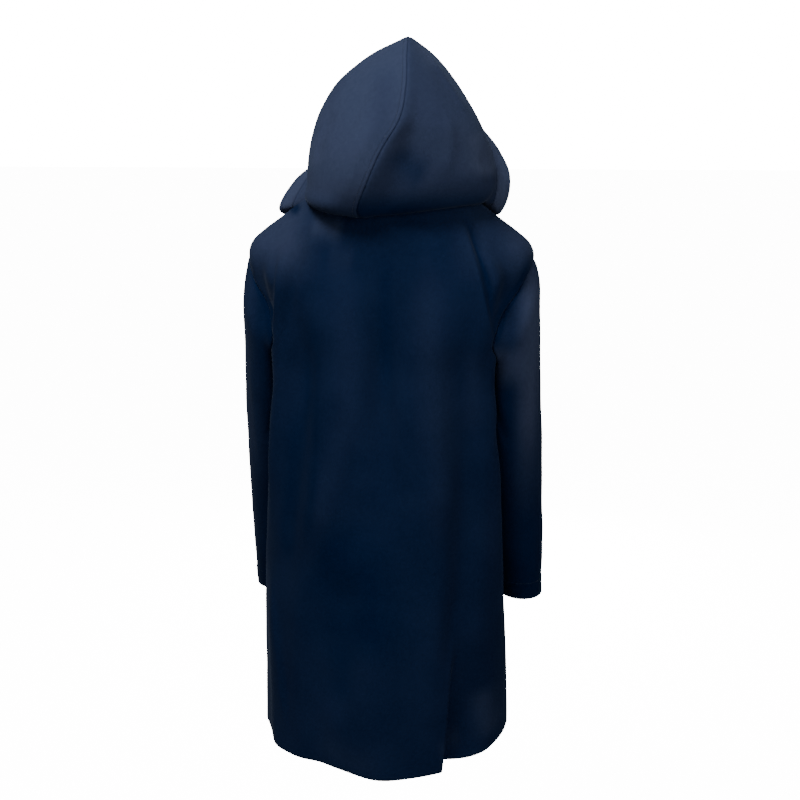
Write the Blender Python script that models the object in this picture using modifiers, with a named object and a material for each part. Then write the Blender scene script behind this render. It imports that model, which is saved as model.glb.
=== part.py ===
"""A worn duffle coat with its hood up, in the pieces that a maker would cut and sew.

Metres, +Z up. The wearer faces -Y, so +X is the wearer's left. The origin is the middle of the neck
opening, level with the nape: the coat hangs from the shoulders there. Every panel is a closed wall of
cloth, lofted through the rows of a table and cut to the lines of its seams.
"""

import math

import bmesh
import bpy
import numpy as np
from mathutils import Vector

CLOTH = 0.003          # thickness of the melton
SEAM = 0.0003          # how far a sewn edge stays back from its seam
LAP = 0.030            # how far each front runs past the centre line
LAP_AIR = 0.0015       # air between the two fronts where they lap
HALF_TURN = 180.0
QUARTER = 90.0
SIGN = {"left": 1.0, "right": -1.0}

# Colour and roughness of each material.
MELTON = (0.012, 0.022, 0.052), 0.95
HORN = (0.16, 0.09, 0.045), 0.35
LEATHER = (0.035, 0.02, 0.013), 0.6
CORD = (0.014, 0.016, 0.024), 0.8


# ---------------------------------------------------------------- tables and the curves through them

def unit(vectors):
    return vectors / np.linalg.norm(vectors, axis=-1, keepdims=True)


def grid_normals(points, ring=False):
    """Normals of a grid whose rows run up and whose columns run to the wearer's left, seen from outside."""
    along = np.gradient(points, axis=0)
    if ring:
        across = np.roll(points, -1, axis=1) - np.roll(points, 1, axis=1)
    else:
        across = np.gradient(points, axis=1)
    return unit(np.cross(along, across))


class Sections:
    """The rows of a loft. at(s) reads every column at row s, between rows on a smooth curve."""

    def __init__(self, columns, *rows):
        self.names = columns.split()
        self.values = np.array(rows, float)
        self.last = len(rows) - 1
        self.slopes = np.gradient(self.values, axis=0)

    def at(self, s):
        s = np.clip(np.asarray(s, float), 0.0, self.last)
        i = np.minimum(s.astype(int), self.last - 1)
        t = (s - i)[..., None]
        value = (self.values[i] * (2 * t**3 - 3 * t**2 + 1) + self.slopes[i] * (t**3 - 2 * t**2 + t)
                 + self.values[i + 1] * (3 * t**2 - 2 * t**3) + self.slopes[i + 1] * (t**3 - t**2))
        return {name: value[..., k] for k, name in enumerate(self.names)}


def ease(t):
    """0 below 0, 1 above 1, and smooth between."""
    t = np.clip(t, 0.0, 1.0)
    return t * t * (3 - 2 * t)


def bell(t):
    """1 at 0 and almost nothing past 2."""
    return np.exp(-t * t)


# ---------------------------------------------------------------- the form of the body

# From hem to neck. width is at the side seam, back and front are depths at the centre lines, and each of
# the three has its own height. shift is the ring's middle, and square is 2 for an ellipse, more for a box.
BODY = Sections(
    "width  back   front  side_z  back_z  front_z shift  square",
    (0.2190, 0.206, 0.168, -0.921, -0.940, -0.920, 0.006, 2.00),   # hem
    (0.2180, 0.199, 0.165, -0.801, -0.814, -0.800, 0.006, 2.05),
    (0.2165, 0.190, 0.161, -0.684, -0.691, -0.682, 0.006, 2.15),   # thigh
    (0.2110, 0.178, 0.157, -0.562, -0.565, -0.561, 0.005, 2.25),
    (0.2040, 0.164, 0.152, -0.440, -0.440, -0.440, 0.004, 2.35),   # hip
    (0.1930, 0.151, 0.147, -0.335, -0.335, -0.335, 0.005, 2.40),   # waist
    (0.1880, 0.141, 0.141, -0.255, -0.262, -0.258, 0.005, 2.40),   # underarm
    (0.2090, 0.137, 0.136, -0.183, -0.220, -0.215, 0.001, 2.35),
    (0.2275, 0.133, 0.131, -0.126, -0.183, -0.178, 0.001, 2.25),
    (0.2390, 0.128, 0.126, -0.088, -0.150, -0.150, 0.000, 2.20),   # end of the dropped shoulder
    (0.2330, 0.122, 0.122, -0.064, -0.120, -0.127, 0.000, 2.15),
    (0.2130, 0.114, 0.117, -0.045, -0.090, -0.108, 0.000, 2.10),
    (0.1800, 0.105, 0.111, -0.021, -0.060, -0.090, 0.000, 2.05),
    (0.1430, 0.095, 0.105,  0.006, -0.030, -0.072, 0.000, 2.00),
    (0.1120, 0.086, 0.100,  0.026, -0.007, -0.058, 0.000, 2.00),
    (0.0880, 0.078, 0.095,  0.036,  0.012, -0.045, 0.000, 2.00),   # neck seam
)
UNDERARM = 6           # rows of the table where the armhole starts and ends
SHOULDER = 9
NECK = BODY.last
HEM_Z = -0.94
NEAR = 0.01            # a small step along a row or a turn, to find the slope of the surface

# Folds and hollows. Angles are degrees from the centre back, + to the wearer's left. A fold starts at the
# height top, is deepest at full, and is gone again at end.
FOLDS = [
    # name                top_at low_at  spread  depth    top    full    end
    ("arm hollow left",      98,  122,    27,  -0.060, -0.215, -0.320, -1.000),
    ("arm hollow right",    -98, -122,    26,  -0.058, -0.215, -0.320, -1.000),
    ("side ridge left",      54,   83,     9,   0.013, -0.130, -0.280, -0.800),
    ("side ridge right",    -58,  -83,     9,   0.013, -0.140, -0.280, -0.800),
    ("pleat ridge left",     42,   76,     6,   0.007, -0.040, -0.140, -0.500),
    ("pleat ridge right",   -40,  -78,     6,   0.008,  0.000, -0.120, -0.500),
    ("pleat dip left",       57,  100,     7,  -0.009, -0.040, -0.120, -0.280),
    ("pleat dip right",     -52, -100,     7,  -0.010,  0.000, -0.110, -0.300),
    ("left valley",          38,   46,    10,  -0.013, -0.080, -0.280, -0.760),
    ("left roll",            15,   40,    10,   0.009, -0.080, -0.420, -1.100),
    ("middle valley",        -2,   -9,     8,  -0.010, -0.060, -0.280, -0.640),
    ("right roll",          -22,  -32,    10,   0.009, -0.100, -0.400, -1.100),
    ("deep valley",         -45,  -38,     9,  -0.013, -0.260, -0.480, -1.200),
    ("hem ridge left",       54,   52,     7,   0.009, -0.560, -0.800, -1.400),
    ("hem valley",           24,   28,     9,  -0.011, -0.480, -0.720, -1.400),
    ("hem roll",             -4,   -2,    10,   0.007, -0.560, -0.800, -1.400),
    ("front roll left",     150,  146,    12,   0.007, -0.200, -0.600, -1.300),
    ("front roll right",   -148, -150,    13,   0.008, -0.200, -0.640, -1.300),
    ("front valley left",   130,  128,     9,  -0.006, -0.300, -0.700, -1.300),
    ("front valley right", -128, -130,     9,  -0.006, -0.300, -0.740, -1.300),
]

# The lapped fold at the right of the back, where the cloth turns under and comes out behind itself.
# turn is half the width of its lip, lap how far the lip swings round and lip where it swings most.
LAPPED = {"top": -0.690, "full": -0.930, "top_at": -40.4, "low_at": -31.0, "depth": 0.036,
          "turn": 3.4, "lap": 4.0, "lip": 0.8, "recovers": 26.0}

# The hem isn't level: each wave has its angle, its spread and how far it lifts the cloth at the hem.
HEM_WAVES = [(17.0, 15.0, 0.010), (-46.0, 12.0, -0.005), (66.0, 9.0, 0.010)]
WAVE_ROWS = 2.5        # rows above the hem over which the waves die away


def hem_lift(s, turn):
    lift = sum(rise * bell((turn - at) / spread) for at, spread, rise in HEM_WAVES)
    return lift * (1 - ease(s / WAVE_ROWS))


def lapped_fold_turn(z):
    down = np.clip((LAPPED["top"] - z) / (LAPPED["top"] - HEM_Z), 0, 1)
    return LAPPED["top_at"] + (LAPPED["low_at"] - LAPPED["top_at"]) * down


def fold_push(z, turn):
    """How far the folds move the cloth outwards."""
    push = np.zeros_like(z)
    for _, top_at, low_at, spread, depth, top, full, end in FOLDS:
        at = top_at + (low_at - top_at) * np.clip((top - z) / (top - HEM_Z), 0, 1)
        strength = ease((z - top) / (full - top)) * ease((z - end) / (full - end))
        push = push + depth * strength * bell((turn - at) / spread)
    return push


def body_surface(s, turn):
    """Points of the coat's outside at row s and turn degrees from the centre back."""
    s, turn = np.broadcast_arrays(np.asarray(s, float), np.asarray(turn, float))
    row = BODY.at(s)
    height_at = np.cos(np.radians(turn))
    own_z = np.where(height_at > 0, row["back_z"], row["front_z"])
    z = row["side_z"] + (own_z - row["side_z"]) * height_at ** 2 + hem_lift(s, turn)
    away = turn - lapped_fold_turn(z)
    folded = ease((LAPPED["top"] - z) / (LAPPED["top"] - LAPPED["full"]))
    width = LAPPED["turn"]
    lip = bell(away / width - LAPPED["lip"]) - bell(away / width + LAPPED["lip"])
    angle = np.radians(turn - LAPPED["lap"] * folded * lip)
    sunk = ease((width - away) / (2 * width)) * ease(1 + (away + width) / LAPPED["recovers"])
    push = fold_push(z, turn) - LAPPED["depth"] * folded * sunk
    across, along = np.sin(angle), np.cos(angle)
    square = row["square"]
    reach = (np.abs(across) ** square + np.abs(along) ** square) ** (-1 / square)
    depth = np.where(along > 0, row["back"], row["front"])
    x = row["shift"] + (row["width"] * reach + push) * across
    return np.stack([x, (depth * reach + push) * along, z], axis=-1)


def body_normals(s, turn):
    up = body_surface(s + NEAR, turn) - body_surface(s - NEAR, turn)
    left = body_surface(s, turn + NEAR) - body_surface(s, turn - NEAR)
    return unit(np.cross(up, left))


# ---------------------------------------------------------------- the form of the hood

# From the neck seam over the head to the brow. Each row is one rib, from the middle seam (sway across)
# round the widest point at the side (shift is the rib's middle) to the edge of the face opening.
HOOD = Sections(
    "seam_y seam_z sway shift side_x side_y side_z left_x left_y left_z right_x right_y right_z ridge hang",
    (0.0783, 0.0125, 0.0, 0.0, 0.088, 0.0, 0.0365, 0.03, -0.09, -0.04, 0.03, -0.09, -0.04, 0.0, 0.0),
    (0.093, 0.0, 0.01, 0.0, 0.112, 0.0, 0.0345, 0.085, -0.092, -0.03, 0.08, -0.092, -0.025, 0.0, 0.002),
    (0.11, -0.014, 0.032, -0.003, 0.13, 0.0, 0.029, 0.154, -0.07, -0.018, 0.134, -0.07, -0.007, 0.0, 0.01),
    (0.129, 0.0, 0.037, -0.011, 0.147, 0.0, 0.035, 0.183, -0.038, -0.009, 0.158, -0.042, 0.0, 0.0, 0.026),
    (0.144, 0.04, 0.02, -0.018, 0.155, -0.002, 0.052, 0.172, -0.052, 0.032, 0.156, -0.048, 0.04, 0.03, 0.018),
    (0.146, 0.09, -0.003, -0.015, 0.151, -0.01, 0.078, 0.144, -0.074, 0.07, 0.149, -0.066, 0.084, 0.08, 0.006),
    (0.138, 0.14, -0.032, -0.012, 0.144, -0.02, 0.108, 0.12, -0.086, 0.108, 0.134, -0.08, 0.116, 0.15, 0.0),
    (0.116, 0.19, -0.039, -0.008, 0.129, -0.032, 0.145, 0.107, -0.096, 0.145, 0.116, -0.092, 0.148, 0.26, 0.0),
    (0.078, 0.236, -0.036, -0.006, 0.108, -0.05, 0.18, 0.092, -0.102, 0.168, 0.094, -0.1, 0.17, 0.38, 0.0),
    (0.03, 0.264, -0.033, -0.01, 0.081, -0.068, 0.205, 0.078, -0.106, 0.184, 0.08, -0.104, 0.186, 0.44, 0.0),
    (-0.03, 0.26, -0.03, -0.014, 0.058, -0.084, 0.218, 0.066, -0.108, 0.196, 0.068, -0.106, 0.197, 0.44, 0.0),
    (-0.088, 0.244, -0.024, -0.016, 0.038, -0.096, 0.222, 0.054, -0.108, 0.203, 0.056, -0.107, 0.204, 0.38, 0.0),
)
HOOD_END = 152.0       # where the hood's neck edge stops, in degrees from the centre back
WIDEST = QUARTER / HOOD_END   # share of a rib between the seam and its widest point
LOW_RIBS = 3.0         # rows below which a rib lies along the shoulder
NECK_FADE = 1.6        # rows over which the hood leaves the line of the neck seam
SEAM_STILL = 0.08      # share of a rib beside the middle seam over which creases fade in
# How much of its hang each side takes, and how late round the rib it starts, as the power of a sine.
HANG = {"left": (0.55, 2), "right": (1.0, 6)}
HOOD_HEART = np.array([-0.01, 0.01, 0.08])

# Creases of the hood: across is the share of a rib from the seam, rib the row of the table.
CREASES = [
    # name          side    across  rib   spread  reach   depth
    ("tuck",       "right",  0.08,  4.2,  0.080,  1.6,  -0.016),
    ("seam roll",  "left",   0.10,  5.0,  0.080,  1.6,   0.006),
    ("cheek roll", "right",  0.42,  5.6,  0.120,  1.4,   0.006),
    ("nape roll",  "right",  0.36,  3.2,  0.160,  0.9,   0.004),
]

# The band turned out round the face: from the neck up to the brow, the way it points on each side.
BAND_WIDTH = 0.026
BAND_STRIPS = 2
BAND = Sections(
    "left_out left_fore left_up right_out right_fore right_up",
    (0.10, 0.85, -0.40, 0.10, 0.85, -0.40),
    (0.30, 0.80, -0.45, 0.30, 0.80, -0.40),
    (0.65, 0.60, -0.50, 0.50, 0.75, -0.40),
    (0.90, 0.20, -0.16, 0.42, 0.50, -0.62),
    (0.76, 0.55, 0.05, 0.85, 0.50, 0.00),
    (0.20, 0.95, 0.05, 0.50, 0.80, 0.00),
    (0.00, 1.00, 0.05, 0.20, 0.95, 0.00),
    (-0.10, 1.00, 0.05, -0.10, 1.00, 0.00),
    (-0.10, 1.00, 0.10, -0.10, 1.00, 0.10),
    (-0.05, 1.00, 0.15, -0.05, 1.00, 0.15),
    (0.00, 1.00, 0.20, 0.00, 1.00, 0.20),
    (0.00, 1.00, 0.25, 0.00, 1.00, 0.25),
)
HOOD_ROWS = np.array([0, 1, 2, 2.5, 3, 3.5, 4, 5, 6, 7, 8, 9, 10, 11], float)


def hood_rib(side, s, across):
    row = HOOD.at(s)
    to_side = np.radians(QUARTER) * np.clip(across / WIDEST, 0, 1)
    to_front = np.radians(QUARTER) * np.clip((across - WIDEST) / (1 - WIDEST), 0, 1)
    side_x = row["shift"] + SIGN[side] * row["side_x"]
    front_x = row["shift"] + SIGN[side] * row[side + "_x"]
    drop = (1 - row["ridge"]) * np.cos(to_side) + row["ridge"] * (1 - np.sin(to_side))
    x = row["sway"] + (side_x - row["sway"]) * np.sin(to_side) + (front_x - side_x) * (1 - np.cos(to_front))
    fore = np.sin(to_front)
    y = row["side_y"] + (row["seam_y"] - row["side_y"]) * drop + (row[side + "_y"] - row["side_y"]) * fore
    level = 1 - ease(s / LOW_RIBS)
    drop = drop * (1 - level * (1 - drop))
    fore = fore * (1 - level * (1 - fore))
    z = row["side_z"] + (row["seam_z"] - row["side_z"]) * drop + (row[side + "_z"] - row["side_z"]) * fore
    share, late = HANG[side]
    z = z - row["hang"] * share * np.sin(to_side) ** late * (1 - fore)
    return np.stack([x, y, z], axis=-1)


def hood_surface(side, s, across):
    """Points of the hood's outside at row s, with across from 0 at the middle seam to 1 at the face."""
    s, across = np.broadcast_arrays(np.asarray(s, float), np.asarray(across, float))
    points = hood_rib(side, s, across)
    push = np.zeros_like(s)
    for _, where, at, rib, spread, reach, depth in CREASES:
        if where == side:
            push = push + depth * bell((across - at) / spread) * bell((s - rib) / reach)
    push = push * ease(across / SEAM_STILL)
    points = points + push[..., None] * unit(points - HOOD_HEART)
    neck = body_surface(np.full_like(s, NECK), SIGN[side] * across * HOOD_END)
    off_neck = neck - hood_rib(side, np.zeros_like(s), across)
    return points + off_neck * (1 - ease(s / NECK_FADE))[..., None]


# ---------------------------------------------------------------- the form of the sleeves

# From the armhole to the cuff. outer_z and inner_z are a ring's heights away from and beside the body,
# and on each side left_x or right_x is how far out its middle is, and left_half or right_half half its width.
SLEEVE = Sections(
    "outer_z inner_z left_x left_half right_x right_half centre_y half_y",
    (-0.175, -0.290, 0.2140, 0.0380, 0.2110, 0.0420, -0.008, 0.078),
    (-0.260, -0.350, 0.2130, 0.0410, 0.2100, 0.0455, -0.016, 0.072),
    (-0.370, -0.422, 0.2145, 0.0435, 0.2120, 0.0485, -0.030, 0.065),   # elbow
    (-0.480, -0.502, 0.2155, 0.0440, 0.2165, 0.0480, -0.047, 0.060),
    (-0.597, -0.603, 0.2160, 0.0430, 0.2225, 0.0445, -0.069, 0.055),
    (-0.708, -0.704, 0.2205, 0.0400, 0.2295, 0.0400, -0.092, 0.051),   # cuff
)
CAP_ROWS = 3
CAP_PUFF = 0.030       # how strongly the sleeve first stands out from the body at its armhole
CAP_RUN = 0.5          # rows of the table that set how the cap runs on into the first ring
SLEEVE_ROWS = 7


def sleeve_ring(side, s, angle):
    """A ring of the sleeve, with angle from the side beside the body round by the back."""
    row = SLEEVE.at(s)
    x = row[side + "_x"] - row[side + "_half"] * np.cos(angle)
    y = row["centre_y"] + row["half_y"] * np.sin(angle)
    z = row["inner_z"] + (row["outer_z"] - row["inner_z"]) * (1 - np.cos(angle)) / 2
    return np.stack([SIGN[side] * x, y, z], axis=-1)


# ---------------------------------------------------------------- rows and columns of the panels

BACK_BITE = 46.0           # degrees that the armhole bites into each panel
FRONT_BITE = 42.0
ARMHOLE_CORNER = 0.40      # share of its height in which the bite rounds out from the underarm
ARMHOLE_SLANT = 0.85       # below 1 the armhole bows out above its corner
ARMHOLE_ROWS = (0.0, 0.015, 0.05, 0.11, 0.20, 0.32, 0.45, 0.58, 0.71, 0.84, 0.94, 1.0)
EDGE_STRIP = 9.0           # degrees kept between the armhole and the columns that follow the lapped fold
FOLD_STRIP = 2.2           # half the width of the fold's own strip of columns, in half widths of its lip
SIDE_PULL = 0.3            # how much the fold's columns follow the height of a row at the side seam
ROWS_BELOW = 10
ROWS_ABOVE = 5
BACK_COLUMNS = (4, 6, 3, 9)    # right of the fold, along it, on to the middle, and the left half
FRONT_COLUMNS = (7, 4)         # from the side to the hood's end, and on to the edge
CLOSE = 0.01               # degrees within which two columns are the same


def armhole_bite(s):
    """0 where the armhole starts and ends, and nearly 1 in its lower corner."""
    t = np.clip((s - UNDERARM) / (SHOULDER - UNDERARM), 0.0, 1.0)
    corner = 1 - np.clip(t / ARMHOLE_CORNER, 0.0, 1.0)
    return (1 - t) ** ARMHOLE_SLANT * np.sqrt(1 - corner * corner)


def body_rows():
    """The rows of a panel: where they meet its side seam and armhole, and where they would lie if even."""
    below = np.linspace(0.0, UNDERARM, ROWS_BELOW + 1)[:-1]
    beside = UNDERARM + np.array(ARMHOLE_ROWS) * (SHOULDER - UNDERARM)
    above = np.linspace(SHOULDER, NECK, ROWS_ABOVE + 1)[1:]
    even = np.linspace(UNDERARM, SHOULDER, len(ARMHOLE_ROWS))
    return np.concatenate([below, beside, above]), np.concatenate([below, even, above])


def fanned(turns, far):
    """The rows at each turn: even at the centre line far, and closer together where they meet the armhole."""
    at_side, even = body_rows()
    side = np.abs(turns[:, -1:] if far == 0 else turns[:, :1])
    share = np.clip((np.abs(turns) - far) / (side - far), 0, 1) ** 2
    return even[:, None] + (at_side - even)[:, None] * share


def stations(start, end, count):
    """count columns from start towards end but not at it, for every row at once."""
    return np.linspace(start, end, count + 1, axis=-1)[:, :-1]


def back_turns():
    """The turns of the back's columns, row by row, closer together along the lapped fold."""
    at_side, even = body_rows()
    reach = QUARTER - BACK_BITE * armhole_bite(at_side)
    fold = lapped_fold_turn(BODY.at(even + SIDE_PULL * (at_side - even))["back_z"])
    near = LAPPED["turn"] * FOLD_STRIP
    fold = np.maximum(fold, near + EDGE_STRIP - reach)
    middle = np.zeros_like(reach)
    lines = (-reach, fold - near, fold + near, middle, reach)
    spans = [stations(start, end, count) for start, end, count in zip(lines, lines[1:], BACK_COLUMNS)]
    return np.concatenate([*spans, reach[:, None]], axis=1)


def front_turns():
    """The turns of a front's columns, row by row, from the side to past the centre line."""
    at_side, even = body_rows()
    reach = QUARTER + FRONT_BITE * armhole_bite(at_side)
    hood_end = np.full_like(reach, HOOD_END)
    end = HALF_TURN + lap_turn(even)
    to_hood, to_edge = FRONT_COLUMNS
    spans = [stations(reach, hood_end, to_hood), stations(hood_end, end, to_edge)]
    return np.concatenate([*spans, end[:, None]], axis=1)


def back_panel():
    turns = back_turns()
    rows = fanned(turns, 0.0)
    return body_surface(rows, turns), body_normals(rows, turns)


def lap_turn(s):
    """How far each front's edge is past the centre line, in degrees."""
    row = BODY.at(s)
    return np.degrees(np.arcsin((LAP - row["shift"]) / row["width"]))


def front_surface(side, s, turn):
    """Points and normals of a front's outside. The left one sinks to run under the right one."""
    points = body_surface(s, SIGN[side] * turn)
    normals = body_normals(s, SIGN[side] * turn)
    if side == "right":
        return points, normals
    under = ease((turn - HOOD_END) / (HALF_TURN - lap_turn(s) - HOOD_END))
    return points - ((CLOTH + LAP_AIR) * under)[..., None] * normals, normals


def front_panel(side):
    """A front from the side seam to its edge."""
    turns = front_turns()
    points, normals = front_surface(side, fanned(turns, HALF_TURN), turns)
    if side == "right":
        return points[:, ::-1], normals[:, ::-1]
    return points, normals


def hood_points(side):
    """Half of the hood, with a column for each column of the panels that it is sewn to."""
    neck_turns = back_turns()[-1]
    own = neck_turns >= 0 if side == "left" else neck_turns <= 0
    to_side = np.sort(np.abs(neck_turns[own]))
    to_front = front_turns()[-1]
    turns = np.concatenate([to_side, to_front[(to_front > QUARTER) & (to_front < HOOD_END + CLOSE)]])
    points = hood_surface(side, HOOD_ROWS[:, None], turns / HOOD_END)
    return points if side == "left" else points[:, ::-1]


def armhole_loop(side, back, front):
    """The armhole's points, from the underarm up the back to the shoulder and down the front."""
    first = ROWS_BELOW
    last = first + len(ARMHOLE_ROWS)
    back_edge = back[first:last, -1 if side == "left" else 0]
    front_edge = front[first:last, 0 if side == "left" else -1]
    return np.concatenate([back_edge, front_edge[-2:0:-1]])


def loop_angles(loop):
    """Angles round the sleeve for its armhole's points: 0 at the underarm, half a turn at the shoulder."""
    ends = np.concatenate([loop, loop[:1]])
    arc = np.concatenate([[0.0], np.cumsum(np.linalg.norm(np.diff(ends, axis=0), axis=1))])
    top = len(ARMHOLE_ROWS) - 1
    up = arc[:top + 1] / arc[top]
    down = (arc[top + 1:-1] - arc[top]) / (arc[-1] - arc[top])
    return math.pi * np.concatenate([up, 1 + down])


def sleeve_points(side, loop, body_out):
    """A sleeve from the cuff up to the armhole, as rings of one column for each point of the armhole."""
    angle = loop_angles(loop)
    rings = [sleeve_ring(side, s, angle) for s in np.linspace(SLEEVE.last, 0.0, SLEEVE_ROWS + 1)]
    first = rings[-1]
    leave = (sleeve_ring(side, CAP_RUN, angle) - first) / CAP_RUN
    start_way = first - loop + CAP_PUFF * body_out
    for t in np.linspace(1.0, 0.0, CAP_ROWS + 1)[1:]:
        start = loop * (2 * t**3 - 3 * t**2 + 1) + start_way * (t**3 - 2 * t**2 + t)
        rings.append(start + first * (3 * t**2 - 2 * t**3) + leave * (t**3 - t**2))
    points = np.array(rings)
    return points if side == "left" else points[:, ::-1]


def band_points(hoods):
    """The band round the face, from the right end of the neck over the brow to the left end."""
    left, right = hoods["left"][:, -1], hoods["right"][:, 0]
    brow = np.concatenate([hoods["left"][-1, ::-1], hoods["right"][-1, ::-1][1:]])
    way = {}
    row = BAND.at(HOOD_ROWS)
    for side in SIGN:
        out, fore, up = (row[side + way_off] for way_off in ("_out", "_fore", "_up"))
        way[side] = np.stack([SIGN[side] * out, -fore, up], axis=-1)
    sewn = np.concatenate([left[:-1], brow, right[-2::-1]])
    top = np.repeat(way["left"][-1:], len(brow), axis=0)
    outwards = unit(np.concatenate([way["left"][:-1], top, way["right"][-2::-1]]))
    strips = [sewn + outwards * BAND_WIDTH * share for share in np.linspace(0, 1, BAND_STRIPS + 1)]
    return np.array(strips)[:, ::-1]


# ---------------------------------------------------------------- walls of cloth

KINDS = ("body", "sleeve", "hood", "band", "patch")
TINY = 1e-9
MITRE = 0.86           # where a seam folds back on itself, its edges lean this little from their own cloth
SAME_PLACE = 5         # decimals of a metre to which two points are the same
SPLIT = (0.31, 0.17, 1.0)   # two pieces split the ends of their walls alike, from the lower end this way


class Wall:
    """A grid of points on the outside of one piece of cloth. Rows run up and columns to the left."""

    def __init__(self, name, kind, points, seams, normals=None, ring=False, thick=CLOTH):
        self.name = name
        self.kind = KINDS.index(kind)
        self.points = points
        self.thick = thick
        self.seams = seams.split()
        self.ring = ring
        self.normals = (grid_normals(points, ring) if normals is None else normals).copy()

    def edges(self):
        mask = np.zeros(self.points.shape[:2], bool)
        mask[[0, -1]] = True
        if not self.ring:
            mask[:, [0, -1]] = True
        return mask

    def pull_in(self):
        """Moves the sewn edges back from their seams, along the cloth."""
        moved = self.points.copy()
        for seam, edge, way in (("low", np.s_[0], -1), ("high", np.s_[-1], 1),
                                ("first", np.s_[:, 0], 1), ("last", np.s_[:, -1], -1)):
            if seam in self.seams:
                line = np.gradient(self.points[edge], axis=0)
                if self.ring:
                    line = np.roll(self.points[edge], -1, axis=0) - np.roll(self.points[edge], 1, axis=0)
                moved[edge] += way * SEAM * unit(np.cross(self.normals[edge], line))
        self.points = moved

    def rims(self):
        """The open edges as closed paths of (row, column)."""
        rows, columns = self.points.shape[:2]
        low = [(0, c) for c in range(columns)]
        high = [(rows - 1, c) for c in reversed(range(columns))]
        if self.ring:
            return [low + low[:1], high + high[:1]]
        last = [(r, columns - 1) for r in range(1, rows - 1)]
        first = [(r, 0) for r in reversed(range(1, rows - 1))]
        return [low + last + high + first + low[:1]]

    def build(self, material):
        rows, columns = self.points.shape[:2]
        mesh = bmesh.new()
        skins = [[[mesh.verts.new(point) for point in row] for row in layer]
                 for layer in (self.points, self.points - self.thick * self.normals)]
        for r in range(rows - 1):
            for c in range(columns if self.ring else columns - 1):
                d = (c + 1) % columns
                corners = [(r, c), (r, d), (r + 1, d), (r + 1, c)]
                a, b, e, f = (self.points[corner] for corner in corners)
                if np.linalg.norm(e - a) > np.linalg.norm(f - b):
                    corners = corners[1:] + corners[:1]
                for skin in skins:
                    a, b, e, f = (skin[i][j] for i, j in corners)
                    mesh.faces.new([a, b, e])
                    mesh.faces.new([a, e, f])
        for path in self.rims():
            for (i, j), (k, m) in zip(path, path[1:]):
                start, end = (skins[0][i][j], skins[1][i][j]), (skins[0][k][m], skins[1][k][m])
                if start[0].co.dot(Vector(SPLIT)) > end[0].co.dot(Vector(SPLIT)):
                    start, end = end, start
                mesh.faces.new([start[0], end[0], end[1]])
                mesh.faces.new([start[0], end[1], start[1]])
        bmesh.ops.recalc_face_normals(mesh, faces=mesh.faces)
        return add_mesh(self.name, mesh, material)


def share_normals(walls):
    """The normals of the walls, the same where edges are sewn together, so that they meet on a mitre."""
    points = np.concatenate([wall.points[wall.edges()] for wall in walls])
    normals = np.concatenate([wall.normals[wall.edges()] for wall in walls])
    kinds = np.concatenate([np.full(wall.edges().sum(), wall.kind) for wall in walls])
    group = np.unique(np.round(points, SAME_PLACE), axis=0, return_inverse=True)[1].reshape(-1)
    sums = np.zeros((group.max() + 1, len(KINDS), 3))
    np.add.at(sums, (group, kinds), normals)
    lengths = np.linalg.norm(sums, axis=-1, keepdims=True)
    shared = unit((sums / np.maximum(lengths, TINY)).sum(axis=1))[group]
    along = (shared * normals).sum(axis=1, keepdims=True)
    leant = MITRE * normals + math.sqrt(1 - MITRE ** 2) * unit(shared - along * normals + TINY)
    shared = np.where(along < MITRE, leant, shared)
    start = 0
    sewn = []
    for wall in walls:
        normals = wall.normals.copy()
        count = wall.edges().sum()
        normals[wall.edges()] = shared[start:start + count]
        start += count
        sewn.append(normals)
    return sewn


# ---------------------------------------------------------------- the toggle closures

# The right front laps over the left one. A loop of cord from a leather patch on the right front goes
# round the tether of a horn toggle, and the tether comes from a patch on the left front.
CLOSURES = (-0.200, -0.340, -0.480, -0.620)   # heights, from the top
TOGGLE_X = 0.052
TOGGLE_OUT = 0.0125      # the toggle's axis stands this far off the left front
TOGGLE = (               # radius, height
    (0.0000, 0.0260), (0.0034, 0.0255), (0.0055, 0.0232), (0.0063, 0.0170), (0.0061, 0.0105), (0.0050, 0.0068),
    (0.0038, 0.0052), (0.0037, 0.0000), (0.0038, -0.0052), (0.0052, -0.0068), (0.0067, -0.0105),
    (0.0071, -0.0170), (0.0063, -0.0236), (0.0038, -0.0262), (0.0000, -0.0268),
)
TURNED_STEPS = 20
TURNED_MERGE = 0.0001    # points of the profile this near the axis become one
CORD_ROUNDING = 2
LOOP_RADIUS = 0.0020
LOOP_SPREAD = 0.0052     # each side of the loop stands this far above or below the middle
LOOP_LIFT = 0.0026       # the middle of the cord is this far off the cloth
TETHER_RADIUS = 0.0016
TETHER_SPREAD = 0.0024
WRAP = 0.0058            # the tether's distance from the toggle's axis where it goes round its waist
PATCH = 0.0020           # thickness of the leather
PATCH_AIR = 0.0010
PATCH_WIDTH = 0.036
PATCH_HEIGHT = 0.034
PATCH_ROUND = 0.35       # share of the height lost at the ends
RIGHT_PATCH = -0.028     # the edge of each patch that the cord leaves
LEFT_PATCH = 0.080
PATCH_GAP = 0.0005       # air between a patch and the end of its cord
PATCH_COLUMNS = 9
PATCH_ROWS = 7
PATCH_CORNER = 6         # the power that keeps a patch square and rounds only its ends
# The upper half of the loop: over the right front, down the step at its edge, and round half of its end.
LOOP_ON_RIGHT = (RIGHT_PATCH + PATCH_GAP, -0.014, 0.000, 0.014, 0.026, 0.034)   # x
LOOP_ON_LEFT = ((0.040, 0.0046), (0.046, LOOP_LIFT), (0.052, LOOP_LIFT))        # x, off the cloth
LOOP_END = 0.056
LOOP_TURNS = (75, 50, 25, 0)
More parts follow.
